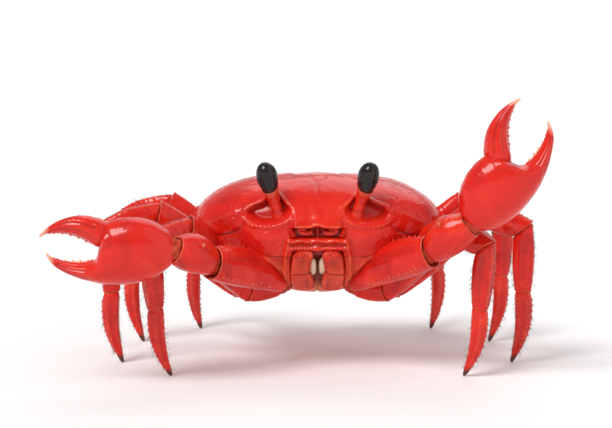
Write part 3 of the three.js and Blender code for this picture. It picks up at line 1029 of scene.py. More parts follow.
@dataclass
class Carapace(Part):
    """The back shield, with its grooves, orbits and turned-down front, in mm."""

    form: BodyForm
    columns: int = 600
    rows_above: int = 170
    rows_below: int = 46
    crown: float = radians(89.3)  # latitude of its topmost ring
    lip: float = 1.1  # thickness of the lower edge
    face: Pair = (20, 28)  # how far forward the face starts and is whole
    flank: Pair = (14, 26)  # where the lower edge of the flanks fades out towards it
    edge_bead: Band = Band(0.8, 0.7, 0.28, 0.6)
    edge_groove: Band = Band(2.4, 0.7, 0, -0.5)
    keel: Band = Band(0, 3, 0.24, 0.8)  # in degrees off the widest line
    keel_start: Pair = (36, 46)

    top: Pair = (10, 24)  # latitudes in degrees between which the back's relief starts
    swellings: Rows = (  # height, then middle and width of x and of y
        (1.1, 29, 15, 3, 20), (0.6, 0, 12, -18, 9), (0.6, 0, 7, 13, 8), (-0.4, 23, 6, -27, 6),
        (-0.45, 0, 9, 27, 4))
    rubbed: Rows = ((29, 14, 3, 18), (0, 9, 13, 7))  # places worn bright
    waves: Rows = ((0.13, 17), (0.06, 5))  # height and wavelength
    furrow_depth: float = 0.72
    furrows: tuple[tuple[float, Rows], ...] = (  # width, then x, y and strength
        (1.25, ((12.5, -15, 0.5), (10.2, -8.5, 0.95), (8.6, -1, 1), (8.8, 5, 1), (11, 11, 0.95),
                (15, 17, 0.7), (18.5, 21, 0.25))),
        (1.2, ((8.8, 2.4, 1), (5, 3.6, 0.85), (0, 4.2, 0.8))),
        (2.1, ((12.5, -15, 0.5), (17, -19, 0.45), (24, -21.5, 0.4), (31, -20.5, 0.15))),
        (1.1, ((0, -38, 0.3), (0, -31, 0.55), (0, -27, 0.55))),
        (1.3, ((0, -27, 0.5), (2.6, -22, 0.4), (3.4, -15, 0.15))),
        (2.4, ((33, 6, 0.2), (38, 10, 0.3), (41, 17, 0.15))))
    scar: Band = Band(0, 1, -0.3, -0.5)
    scars: Rows = ((7.2, -6.5), (6.9, 7.2), (12.6, 3), (15.8, 12.5), (21.5, -17.5))

    orbit: Pair = (20, 66.2)  # the middle of the left one, across and up
    orbit_half_width: float = 9.9
    orbit_above: float = 4.7
    orbit_below: float = 5.0
    orbit_depth: float = 4.3
    orbit_slant: float = 0.7  # how much lower it is at its outer end
    brow_peak: Triple = (17.2, 3.6, 3)  # middle, width and height of the brow's rise
    brow: Band = Band(1.09, 0.1, 0.5, 0.9)  # as shares of the orbit, like the next two
    orbit_beads: Band = Band(1.09, 0.1, 0.55, 0.9)
    orbit_groove: Band = Band(1.34, 0.12, -0.2, -0.2)
    bead_count: int = 34

    front_edge: float = 60.7  # height of the turned-down front's lower edge
    front_half: Pair = (10.8, 8.8)  # where its sides fade out
    front_rise: float = 1.7
    front_lip: Band = Band(0.5, 0.5, 0.25, 0.9)
    pocket_half: Pair = (11.6, 10.4)  # the hollow of the small feelers
    pocket_floor: Pair = (56, 56.8)
    pocket_depth: float = 2.9
    mouth_half: Pair = (13, 11)
    mouth_lip: Band = Band(55.2, 0.7, 0.8, 0.8)
    mouth_groove: Band = Band(53.6, 0.8, -0.6, -0.6)
    mouth_beads: Band = Band(52, 0.7, 0.8, 0.8)
    mouth_knob: Band = Band(52.6, 1.6, 0.6, 0.5)
    mouth_top: Pair = (51.2, 50.2)
    mouth_depth: float = 1.6
    mouth_frame: Band = Band(11.6, 0.8, 0.7, 0.7)
    frame_groove: Band = Band(13.6, 0.8, -0.3, -0.4)

    cheek_groove: Rows = (  # x, height and strength
        (29.5, 62.6, 0.3), (33, 59, 0.9), (39, 56.9, 1), (45, 56.4, 0.9), (51.5, 57.2, 0.4))
    cheek_ridge: Rows = ((29, 69, 0.3), (36, 65.6, 0.6), (43, 62.4, 0.6), (50, 60.4, 0.3))
    corner_grains: Scatter = (520, 0.42, (0.06, 0.17), 2)
    cheek_grains: Scatter = (900, 0.36, (0.35, 1), 3)

    def __post_init__(self) -> None:
        """Lays out the plain surface, and finds how much each point belongs to the face."""
        self.relief = Relief(self.form, self.columns, np.r_[
            np.linspace(self.crown, 0.0, self.rows_above, endpoint=False),
            np.linspace(0.0, self.form.suture, self.rows_below)])
        self.on_face = ramp(-self.relief.y, *self.face)

    def build(self) -> None:
        """Builds the shield."""
        self.shape_back()
        self.shape_orbits()
        self.shape_front()
        self.shape_cheeks()
        r = self.relief
        above = r.z - r.z[-1]
        ahead = ramp(-r.y, *self.flank)
        r.band(r.degrees, self.keel, ramp(r.x, *self.keel_start))
        r.band(above, self.edge_bead, 1 - 0.8 * ahead)
        # a line of painted shade above the bead, with no depth of its own
        r.band(above, self.edge_groove, 1 - 0.8 * ahead)
        pale = ramp(above, 6, 0) * (0.3 - 0.12 * ahead)
        surface = r.surface()
        edge, inward = surface[-1], -r.normals[-1] * self.lip
        inner = [edge + inward * 0.25 - [0, 0, 0.2], edge + inward - [0, 0, 0.1],
                 edge + inward * 2 + [0, 0, 1.5]]
        more = (0, len(inner)), (0, 0)
        piece = Piece("shield")
        # the rings turned in under the edge are painted with shade
        piece.add_rings(
            np.vstack([surface, inner]), crease=np.pad(r.crease, more, constant_values=0.8),
            ridge=np.pad(r.ridge, more), pale=np.pad(pale, more))
        piece.make(self.wardrobe.shell, Slot.SHELL, "carapace")

    def shape_back(self) -> None:
        """Shapes the swollen regions of the back and the grooves and scars between them."""
        r = self.relief
        x, y, on_top = r.x, r.y, ramp(r.degrees, *self.top)
        r.lift += on_top * sum(height * bell(x, across, wide) * bell(y, along, long)
                               for height, across, wide, along, long in self.swellings)
        for seed, (height, wavelength) in enumerate(self.waves):
            r.lift += height * uneven(r.grid, wavelength, seed)
        furrow = on_top * np.maximum.reduce([
            near_line(x, y, points, width) for width, points in self.furrows])
        r.mark(furrow, -self.furrow_depth)
        # painted shade in the furrows
        r.crease = 0.85 * furrow**1.5
        r.ridge = 0.25 * on_top * sum(bell(x, across, wide) * bell(y, along, long)
                                      for across, wide, along, long in self.rubbed)
        # each scar is a small dent with painted shade in it
        for across, along in self.scars:
            r.band(np.hypot(x - across, y - along), self.scar, on_top)

    def shape_orbits(self) -> None:
        """Shapes the two eye sockets: a brow above, a beaded edge below, open at the outer end."""
        r, face = self.relief, self.on_face
        across = (r.x - self.orbit[0]) / self.orbit_half_width
        rise = r.z - self.orbit[1] + self.orbit_slant * across
        middle, width, peak = self.brow_peak
        above = self.orbit_above + peak * bell(r.x, middle, width)
        rise_share = rise / np.where(rise > 0, above, self.orbit_below)
        reach = np.hypot(across, rise_share)
        steep = 0.56 + 0.2 * np.tanh(rise / 2)
        hollow = ramp((reach - steep) / (1 - steep), 1, 0) * face
        r.pull += self.orbit_depth * hollow
        # painted shade over the eye socket's hollow
        r.mark(hollow**0.8, 0, -0.5)
        turn = np.arctan2(rise_share, across)
        over, under = (np.clip(sign * np.sin(turn), 0, 1) ** 0.6 * face for sign in (1, -1))
        r.band(reach, self.brow, over)
        r.band(reach, self.orbit_beads, under * (0.6 + 0.4 * np.cos(self.bead_count * turn)))
        # painted shade in the groove below the beaded edge
        r.band(reach, self.orbit_groove, under)

    def shape_front(self) -> None:
        """Shapes the turned-down front, the hollow of the small feelers and the mouth's frame."""
        r, face = self.relief, self.on_face
        x, z = r.x, r.z
        lobe = ramp(x, *self.front_half) * face
        over = z - self.front_edge - 0.9 * bell(x, 0, 2.2)
        r.mark(lobe * ramp(over, -0.7, 0) * ramp(over, 8, 0), self.front_rise)
        r.band(over, self.front_lip, lobe)
        pocket = (ramp(x, *self.pocket_half) * face * ramp(-over, 0, 0.8)
                  * ramp(z, *self.pocket_floor))
        septum = bell(x, 0, 0.8)
        r.mark(pocket * (1 - 0.6 * septum), -self.pocket_depth)
        # painted shade in the hollow of the small feelers
        r.mark(pocket, 0, -0.75)
        inside = ramp(x, *self.mouth_half) * face
        r.band(z - 0.3 * np.cos(0.9 * x), self.mouth_lip, inside)
        # painted shade in the groove below the mouth's lip
        r.band(z, self.mouth_groove, inside)
        r.band(z + 0.6 * septum, self.mouth_beads, inside * (0.7 + 0.3 * np.cos(5 * x)))
        r.band(z, self.mouth_knob, inside * bell(x, 0, 1.1))
        # the mouth's upper hollow, sunk and painted with shade
        r.mark(ramp(x, 11, 9.5) * face * ramp(z, *self.mouth_top), -self.mouth_depth, -0.8)
        outward = x + (z - 56) * 0.2
        r.band(outward, self.mouth_frame, ramp(z, 56.4, 54.6) * face)
        # painted shade in the groove beside the mouth's frame
        r.band(outward, self.frame_groove, ramp(z, 57, 54.6) * face)

    def shape_cheeks(self) -> None:
        """Shapes the grooves and grains below and beside the orbits."""
        r = self.relief
        x, y, z = r.x, r.y, r.z
        # painted shade in the groove below the orbit
        r.mark(near_line(x, z, self.cheek_groove, 0.75) * ramp(-y, 2, 14), -0.5, -0.75)
        r.mark(near_line(x, z, self.cheek_ridge, 1.2) * ramp(-y, 4, 16), 0.35, 0.6)
        r.mark(bell(x, 21, 6.5) * bell(z, 56, 3.2) * self.on_face, 0.7)
        corner = (x > 30) & (y < 6) & (z > 56)
        r.mark(scattered_grains(r.grid, corner, *self.corner_grains), 1)
        cheek = (x > 14.5) & (y < -8) & (z < 60 - 0.06 * x)
        r.mark(scattered_grains(r.grid, cheek, *self.cheek_grains), 0.2, 0.5)


@dataclass
class Thorax(Part):
    """The breast plate and flanks below the shield, with the sockets of the limbs."""

    form: BodyForm
    sockets: list[tuple[Array, Array, float]]  # where each limb starts, its way and its radius
    columns: int = 440
    rows: int = 130
    bottom: float = radians(-88.5)  # latitude of its lowest ring
    front: Pair = (14, 26)  # how far forward the front starts and is whole
    breast: Pair = (43, 35)  # heights between which the flanks pass into the breast
    plates: Row = (-18.5, -7, 4, 15.5, 26.5)
    plate_seam: Band = Band(0, 0.6, -0.75, -0.75)
    plate_edge: Band = Band(1.6, 0.9, 0.18, 0.4)
    middle_seam: Band = Band(0, 0.6, -0.6, -0.7)
    trough: Rows = ((-8, 26, 40), (2.6, 11, 10))  # y, half width
    trough_depth: float = 0.8
    mouth_depth: float = 3.4
    mouth_frame: Band = Band(13.1, 0.9, 0.9, 0.8)
    frame_groove: Band = Band(15, 0.8, -0.35, -0.4)
    collar: Band = Band(1.4, 1.2, 0.9, 0.6)  # outside each socket
    cheek_grains: Scatter = (520, 0.36, (0.35, 1), 6)

    def __post_init__(self) -> None:
        """Lays out the plain surface, and finds how much each point belongs to the breast."""
        self.relief = Relief(self.form, self.columns,
                             np.linspace(self.form.suture, self.bottom, self.rows))
        self.below = ramp(self.relief.z, *self.breast)

    def build(self) -> None:
        """Builds the breast."""
        r = self.relief
        r.lift += 0.1 * uneven(r.grid, 12.0, 5)
        front = ramp(-r.y, *self.front)
        # the flanks tucked under the shield's edge are sunk and painted with shade
        tucked = ramp(r.degrees, -30, -20) * (1 - front) + 0.5 * ramp(r.degrees, -22.5, -20) * front
        r.mark(tucked, -1, -0.75)
        self.shape_plates()
        self.shape_sockets()
        # the mouth's recess is sunk and painted with shade
        mouth = ramp(r.x, 11.2, 9.4) * ramp(r.z, 32, 35) * ramp(-r.y, 20, 27)
        r.mark(mouth, -self.mouth_depth, -0.9)
        beside = ramp(-r.y, 16, 24)
        r.band(r.x, self.mouth_frame, ramp(r.z, 34, 38) * beside)
        # painted shade in the groove beside the mouth's frame
        r.band(r.x, self.frame_groove, ramp(r.z, 38, 42) * beside)
        cheek = (r.x > 15.5) & (r.y < -10) & (r.z > 37)
        r.mark(scattered_grains(r.grid, cheek, *self.cheek_grains), 0.2, 0.5)
        more = (1, 0), (0, 0)
        piece = Piece("breast")
        # the extra ring 3 mm in under the shield is fully painted with shade
        piece.add_rings(
            np.vstack([r.grid[:1] - r.normals[:1] * 3.0, r.surface()]),
            crease=np.pad(r.crease, more, constant_values=1), ridge=np.pad(r.ridge, more),
            pale=np.pad(0.12 + 0.6 * self.below + 0.25 * mouth, more))
        piece.make(self.wardrobe.underside, Slot.UNDERSIDE, "thorax")

    def shape_plates(self) -> None:
        """Shapes the breast's plates and the trough that the tail lies in."""
        r, below = self.relief, self.below
        x, y = r.x, r.y
        # the seams between the plates and down the middle get painted shade
        for place in self.plates:
            past = y - place - 0.05 * x
            r.band(past, self.plate_seam, below * ramp(x, 34, 24))
            r.band(past, self.plate_edge, below * ramp(x, 30, 22))
        r.band(x, self.middle_seam, below * ramp(-y, -2, 6))
        half = np.interp(y, *self.trough)
        # the trough that the tail lies in gets a little painted shade
        r.mark(ramp(x - half, 2.2, 0.6) * ramp(y, -9, -5) * below, -self.trough_depth, -0.3)

    def shape_sockets(self) -> None:
        """Shapes the collar round each limb's root, and paints shade where the limb goes in."""
        r = self.relief
        for start, way, radius in self.sockets:
            gap = r.grid - start
            ahead = gap @ way
            off = np.linalg.norm(gap - ahead[..., None] * way, axis=-1)
            r.band(off - radius, self.collar, ahead > 0)
            # painted shade round the limb's root, with no change of shape
            r.mark((ahead > 0) * ramp(off, radius + 0.4, radius - 1.2), 0, -0.85)


@dataclass
class Abdomen(Part):
    """The tail, folded forward under the body, as a row of overlapping plates."""

    form: BodyForm
    span: Pair = (radians(-24), radians(-84))
    half_height: Triple = (1.9, 2.1, 1.5)
    half_width: Triple = (8.5, 11.5, 3.5)
    peak: float = 0.25
    rise: float = 0.6
    rows: int = 190
    joints: Row = (0.1, 0.22, 0.36, 0.5, 0.64, 0.8)
    seam_width: float = 0.008
    seam_depth: float = 0.35
    overlap: float = 0.45  # how far the end of each plate stands above its start
    keel: Triple = (0, 0.28, 0.35)  # middle and width across the tail, and height
    valley: Triple = (0.62, 0.16, 0.25)
    arch: float = 1.7

    def build(self) -> None:
        """Builds the tail."""
        share, latitude = np.linspace((0, self.span[0]), (1, self.span[1]), self.rows).T
        before, middle, after = (self.form.point(np.full(self.rows, np.pi), latitude + step)
                                 for step in (0.01, 0, -0.01))
        along = unit(after - before)
        out = unit(np.cross(ACROSS, along))
        ends = np.sqrt(np.clip(np.minimum(share / 0.03, (1 - share) / 0.09), 0.05, 1))
        inside = np.interp(share, (0, *self.joints, 1), range(len(self.joints) + 2)) % 1
        half_side = swell(share, self.half_width, self.peak) * ends * (1 + 0.06 * (inside - 0.5))
        loft = Loft(middle - out * self.rise, along, out, ACROSS,
                    swell(share, self.half_height, self.peak) * ends, half_side, share,
                    sides=72, top_power=2.6, bottom_power=2.6)
        c, s = loft.section()
        outer = np.maximum(s, 0) ** 0.4
        seams = sum(column(bell(share, joint, self.seam_width)) for joint in self.joints) * outer
        plate = column(self.overlap * inside - 0.2) * outer - self.seam_depth * seams
        keel = self.keel[2] * bell(c, *self.keel[:2]) * outer * column(ramp(share, 1, 0.7))
        valley = self.valley[2] * bell(np.abs(c), *self.valley[:2]) * outer
        rings = loft.rings(plate + keel - valley + 0.06 * uneven(loft.rings(), 6.0, 8))
        across = rings[..., 0] / self.half_width[1]
        bent = self.arch * column(ramp(share, 0.75, 0.2)) * across**2
        piece = Piece("tail")
        # painted shade in the seams between the plates and in the valleys along the tail
        piece.add_rings(
            rings - out[:, None, :] * bent[..., None], crease=0.95 * seams + 1.2 * valley,
            ridge=0.7 * column(ramp(inside, 0.7, 0.95)) * outer,
            pale=column(0.15 + 0.5 * ramp(share, 0.1, 0.5)))
        piece.make(self.wardrobe.underside, Slot.UNDERSIDE, "abdomen")


# Face


@dataclass
class Eye(Part):
    """A raised eyestalk with its cornea."""

    side: Side
    root: Triple = (15.5, -34.8, 63.5)
    tip: Triple = (22, -42, 87)
    forward: Triple = (0.3, -1, 0.2)
    stalk_share: float = 0.6
    stalk: Rows = ((0, 2.9), (0.1, 3.15), (0.2, 2.9), (0.3, 2.45), (0.5, 2.35), (0.75, 2.85),
                   (1, 3.75))  # share of its length, radius
    cup: Rows = ((-0.25, 1.01), (0, 1), (0.1, 0.96), (0.05, 0.9), (-0.7, 0.78))
    ridges: tuple[Ridge, Ridge] = (Ridge(90, 0.2, 26, 0.3, 0.9), Ridge(20, -0.15, 16, 0.2, 0.9))
    radius: float = 4.5
    middle: float = 0.42  # of the cornea, and half its length, as shares of what the stalk leaves
    half_length: float = 0.6
    slant: float = 0.5  # how much lower the cornea reaches in front than behind
    tongue: float = 2.6  # how far the stalk's shell runs up behind the cornea
    sides: int = 56

    def build(self) -> None:
        """Builds the stalk and the cornea."""
        root, tip, forward = (self.side.place(*p) for p in (self.root, self.tip, self.forward))
        length = float(np.linalg.norm(tip - root))
        top = self.stalk_share * length
        past, full = np.array(self.cup).T
        distance = np.r_[np.linspace(-3.0, top - 0.5, 52), top + past]
        share = np.clip(distance / top, 0, 1)
        radius = np.interp(share, *zip(*self.stalk))
        radius[-len(full):] *= full
        loft = straight_loft(root, tip - root, forward, distance, top, radius, radius * 0.96,
                             sides=self.sides, lean=-self.slant * ramp(share, 0.35, 1.0))
        behind = np.clip(-np.sin(loft.angles), 0, 1) ** 3 * column(ramp(share, 0.7, 1.0))
        lift = loft.ridged(self.ridges)[0] + 0.75 * behind
        rings = loft.rings(lift + 0.05 * uneven(loft.rings(), 3.0, 12))
        # darker folds at the stalk's joints, and painted shade in its cup under the cornea
        folds = 0.7 * (bell(share, 0.02, 0.05) + bell(share, 0.27, 0.03))
        folds[-4:] = (0.3, 0.8, 1, 1)
        piece = Piece(f"eyestalk_shell_{self.side}")
        piece.add_rings(rings + (self.tongue * behind)[..., None] * loft.axis,
                        crease=column(folds), pale=column(0.4 * ramp(share, 0.6, 1)))
        piece.make(self.wardrobe.shell, Slot.SHELL, f"eyestalk_{self.side}")

        t = self.middle - 0.59 * np.cos(np.linspace(0.12, np.pi - 0.06, 44))
        ball = self.radius * np.sqrt(1 - ((t - self.middle) / self.half_length) ** 2)
        globe = straight_loft(
            root, tip - root, forward, top + t * (length - top), length, ball, ball * 0.97,
            lean=-self.slant * ramp(t, 0.85, 0.0), sides=self.sides, top_power=2.05,
            bottom_power=2.05)
        eye = Piece(f"eye_{self.side}_cornea")
        eye.add_rings(globe.rings(), crease=column(ramp(t, 0.2, 0.0)))
        eye.make(self.wardrobe.cornea, Slot.CORNEA, f"eye_{self.side}")


@dataclass
class Feeler(Part):
    """An antenna with its jointed base, and the small folded feeler beside it."""

    side: Side
    root: Triple = (9.5, -38, 56)
    tip: Triple = (12.5, -50, 62)
    thickness: Rows = ((0, 1.25), (0.3, 1.31), (0.36, 1), (0.5, 0.94), (0.56, 0.63),
                       (0.62, 0.5), (1, 0.34))  # share of its length, radius
    joints: Rows = ((0.34, 0.018), (0.54, 0.015))  # where each is and how wide
    whip: float = 0.62  # where the thin end starts
    whip_rings: int = 12
    small: Rows = ((2.5, -40, 58.7), (5, -41, 58.4), (7.7, -41.2, 59.3),
                   (7.2, -41.8, 60.1), (4.6, -42, 59.8))
    small_thickness: Rows = ((0, 1.05), (0.45, 0.85), (0.55, 0.6), (1, 0.3))

    def build(self) -> None:
        """Builds the pair of feelers of this side."""
        root, tip = self.side.place(*self.root), self.side.place(*self.tip)
        share = np.linspace(0, 0.985, 110)
        length = float(np.linalg.norm(tip - root))
        knots = ramp(share, self.whip, self.whip + 0.03)
        beat = np.sin(2 * np.pi * (share - self.whip) / (1 - self.whip) * self.whip_rings)
        joints = sum(bell(share, *joint) for joint in self.joints)
        size = (np.interp(share, *zip(*self.thickness))
                * (1 + 0.07 * knots * beat - 0.16 * joints))
        loft = straight_loft(root, tip - root, UPWARD, share * length, length, size, size, 0.8,
                             sides=20)
        piece = Piece(f"feeler_{self.side}")
        piece.add_rings(loft.rings(), crease=column(joints), pale=column(0.3 * knots))
        small = round_loft(curve_through(self.small, 40) * self.side.place(1, 1, 1),
                           [0.0, 0.3, 1.0], self.small_thickness, 14)
        piece.add_rings(small.rings(), pale=0.25)
        piece.make(self.wardrobe.limb, Slot.LIMB, f"antenna_{self.side}")


@dataclass
class Mouthpart(Part):
    """An outer mouth plate with its palp, rod and fringe, and the jaw behind it."""

    side: Side
    form: BodyForm
    middle: float = 6.2
    span: Pair = (radians(-57), radians(-15))
    half_height: Triple = (1.4, 1.9, 1.5)
    half_width: Triple = (3.2, 4.9, 3.4)
    inner_edge: float = 1.3  # how far it stays from the middle line
    notch: Triple = (0.66, 0.2, 2.1)  # middle, width and depth of the opening for the jaw
    rise: float = 0.9
    joint: float = 0.56
    rows: int = 110
    hairs: int = 90
    rod_offset: float = 12.0
    rod_sizes: Rows = ((0, 0.6), (0.08, 1.05), (0.8, 0.75), (1, 0.25))
    palp_offset: float = 9.0
    palp: Rows = ((0, 1.8, -0.6), (2, 3.2, 0.3), (4.4, 3.4, -0.9), (5.8, 2.9, -3.6),
                  (6, 2.2, -6.4))  # inwards, out and up
    palp_sizes: Rows = ((0, 0.9), (0.22, 1.1), (0.36, 0.95), (0.39, 0.7), (0.42, 0.9),
                        (0.66, 0.8), (0.69, 0.55), (0.72, 0.72), (1, 0.2))
    palp_joints: Pair = (0.39, 0.69)
    jaw_offset: float = 2.35
    jaw_latitude: float = radians(-31)
    jaw_half: Triple = (0.16, 1.5, 2.25)  # its half length as a latitude, height and width

    def build(self) -> None:
        """Builds the plate, its fringe and the jaw."""
        s = self.side.value
        share, latitude = np.linspace((0, self.span[0]), (1, self.span[1]), self.rows).T
        at, along, out = self.form.face_line(s * self.middle, latitude)
        outer = self.middle + swell(share, self.half_width, 0.5)
        inner = self.inner_edge + self.notch[2] * bell(share, *self.notch[:2])
        at = at + out * self.rise
        at[:, 0] = s * (outer + inner) / 2
        ends = 0.5 + 0.5 * np.sqrt(np.clip(np.minimum(share / 0.08, (1 - share) / 0.08), 0, 1))
        loft = Loft(at, along, out, ACROSS, swell(share, self.half_height, 0.5) * ends,
                    (outer - inner) / 2 * ends, share, sides=64, top_power=3.2, bottom_power=2.4)
        lift, worn = loft.ridged((
            Ridge(90 + s * 14, -0.5, 10, 0.08, 0.5), Ridge(48, 0.2, 7), Ridge(132, 0.2, 7),
            Ridge(90, -0.25, 16, 0.64, 0.9)))
        joint = bell(column(share) + 0.02 * s * np.cos(loft.angles), self.joint, 0.013)
        # a dark joint across the plate, and painted shade in its grooves
        piece = Piece(f"mouth_plate_{self.side}")
        piece.add_rings(loft.rings(lift - 0.7 * joint + 0.06 * uneven(loft.rings(), 5.0, 9)),
                        crease=np.maximum(0.95 * joint, -0.6 * worn), ridge=worn, pale=0.3)
        self.add_rods(piece)
        piece.make(self.wardrobe.underside, Slot.UNDERSIDE, f"maxilliped_{self.side}")
        fringe = Bristles(f"mouth_fringe_{self.side}", length=(0.8, 1.7))
        inward = 90 + 90 * s
        fringe.grow(loft, along.mean(axis=0), (0, 1), (inward, inward + 20, inward - 20),
                    self.hairs, np.random.default_rng(SEED + 30 + s))
        fringe.make(self.wardrobe.bristle, Slot.UNDERSIDE)
        self.build_jaw()

    def add_rods(self, piece: Piece) -> None:
        """Adds the thin rod along the plate's outer edge and the jointed palp at its top.

        Args:
            piece: Where to add them.
        """
        s = self.side.value
        at, _, out = self.form.face_line(
            s * self.rod_offset, self.span[0] + 0.08 + np.linspace(0, 0.55, 40))
        rod = round_loft(at + out * 0.5, ACROSS, self.rod_sizes, 18)
        piece.add_rings(rod.rings(), pale=0.25)
        top, up, out = (found[0] for found in self.form.face_line(
            s * self.palp_offset, np.array([self.span[1] - 0.03])))
        line = top + np.array(self.palp) @ np.array([-s * ACROSS, out, up])
        palp = round_loft(curve_through(line, 60), out, self.palp_sizes, 18)
        joints = sum(bell(palp.share, joint, 0.02) for joint in self.palp_joints)
        piece.add_rings(palp.rings(), pale=0.2, crease=column(joints))

    def build_jaw(self) -> None:
        """Builds the jaw that shows between the mouth plates."""
        turn = np.linspace(0.12, np.pi - 0.12, 26)
        half_length, half_height, half_width = self.jaw_half
        at, along, out = self.form.face_line(
            self.side.value * self.jaw_offset, self.jaw_latitude - half_length * np.cos(turn))
        size = np.sin(turn)
        jaw = Loft(at - out, along, out, ACROSS, half_height * size, half_width * size, turn,
                   sides=28)
        rings = jaw.rings(0.12 * uneven(jaw.rings(), 2.5, 14))
        cutting = ramp(np.abs(rings[..., 0]), 1.3, 0.3)
        piece = Piece(f"jaw_{self.side}")
        # horny cutting edges, with a little painted shade where the two jaws meet
        piece.add_rings(rings, horn=0.8 * cutting, crease=0.3 * cutting)
        piece.make(self.wardrobe.ivory, Slot.UNDERSIDE)


# Limb pieces


@dataclass(frozen=True)
class LimbForm:
    """The sizes of one kind of limb piece, as halves in mm, and what runs along it."""

    half_up: Triple
    half_side: Triple
    peak: float
    bow: float
    ridges: tuple[Ridge, ...] = ()
    top_power: float = 2.3
    bottom_power: float = 2.3
    head: float = 0.8  # how narrow the piece starts inside its neighbour
    root: float = 1.9  # how far its rounded head reaches back, in mm
    rugae: float = 0.0  # height of the short wrinkles across its upper edge, in mm


@dataclass
class LimbPiece:
    """A limb piece between two mitred joints."""

    name: str
    start: Array
    axis: Array
    up: Array
    length: float
    form: LimbForm
    bends: Pair = (0.0, 0.0)
    scale: float = 1.0
    sides: int = 56
    step: float = 0.5
    hollow_end: Rows = (  # the last rings: their distance past the end in mm, and how full
        (-0.9, 1.0125), (-0.5, 1.025), (-0.2, 1.025), (-0.02, 0.985), (0.02, 0.93),
        (-0.25, 0.84), (-1.4, 0.72))
    blunt_end: Rows = ((-0.9, 0.92), (-0.5, 0.82), (-0.2, 0.68), (-0.04, 0.45))
    tip: bool = False

    @classmethod
    def between(cls, name: str, start: Array, end: Array, hint: Array,
                form: LimbForm) -> "LimbPiece":
        """A limb piece between two points.

        Args:
            name: Its node's name.
            start: Where it starts.
            end: Where it ends.
            hint: The way its upper edge leans.
            form: Its sizes.

        Returns:
            The limb piece.
        """
        axis = unit(end - start)
        up = np.cross(unit(np.cross(axis, hint)), axis)
        return cls(name, start, axis, up, float(np.linalg.norm(end - start)), form)

    def loft(self) -> Loft:
        """The rings of its rounded head, its body and its hollow or blunt far end.

        Returns:
            The loft.
        """
        form = self.form
        count = max(int(self.length / self.step), 12)
        dome = np.linspace(0.12, np.pi / 2, 8)
        past, close = np.array(self.blunt_end if self.tip else self.hollow_end).T
        distance = np.r_[-form.root * np.cos(dome), 0.5, 1.0,
                         np.linspace(1.6, self.length - 1.3, count), self.length + past]
        taper = self.scale * np.r_[
            form.head * np.sin(dome), 0.6 + 0.4 * form.head, 0.85 + 0.15 * form.head,
            np.linspace(0.99, 1.0, count), close]
        share = np.clip(distance / self.length, 0, 1)
        before, after = (tan(bend) for bend in self.bends)
        return straight_loft(
            self.start, self.axis, self.up, distance, self.length,
            swell(share, form.half_up, form.peak) * taper,
            swell(share, form.half_side, form.peak) * taper, form.bow,
            lean=share * after - (1 - share) * before, sides=self.sides,
            top_power=form.top_power, bottom_power=form.bottom_power)

    def paint(self, loft: Loft, worn: Array) -> dict[str, Array]:
        """The painted values of the piece.

        Args:
            loft: Its rings.
            worn: The share of ridge, below 0 in grooves.

        Returns:
            The values for each point, by name.
        """
        # painted shade on the head inside the piece before, in the hollow far end and in the
        # grooves
        inside = np.zeros(len(loft.share))
        inside[:6] = 0.9 if self.form.root < 3 else 0.3
        pale = 0.35 * ramp(loft.share, 2.4 / self.length, 0.0)
        if not self.tip:
            inside[-3:] = 0.9
            pale = pale + 0.42 * ramp(loft.share, 1 - 0.9 / self.length, 1)
        return {"crease": np.maximum(-0.6 * worn, column(inside)), "ridge": worn,
                "pale": column(pale), "horn": column(ramp(loft.share, 0.82, 0.97) * self.tip)}

    def add_to(self, piece: Piece, seed: int) -> Loft:
        """Adds the piece's surface.

        Args:
            piece: Where to add it.
            seed: Which unevenness it has.

        Returns:
            Its loft.
        """
        loft = self.loft()
        lift, worn = loft.ridged(self.form.ridges)
        plain = loft.rings()
        phase = column(2 * np.pi * loft.share * self.length / 1.9)
        wrinkles = (np.clip(np.sin(phase + 2.4 * uneven(plain, 6.0, seed + 300)), 0, 1)
                    * np.clip(np.sin(loft.angles), 0, 1) ** 1.5
                    * ramp(uneven(plain, 3.5, seed + 301), -0.2, 0.45))
        lift = lift + 0.07 * self.scale * uneven(plain, 7.0, seed) + self.form.rugae * wrinkles
        if self.form.rugae:
            worn = np.where(worn < 0, worn, np.maximum(worn, 0.45 * wrinkles))
        if self.tip:
            lift = lift * column(ramp(loft.share, 1.0, 0.8))
        piece.add_rings(loft.rings(lift), **self.paint(loft, worn))
        return loft


def edge_lines(angles: Row, height: float, width: float, start: float, end: float,
               beads: int = 0) -> tuple[Ridge, ...]:
    """Ridges of the same kind at several angles."""
    return tuple(Ridge(angle, height, width, start, end, beads) for angle in angles)


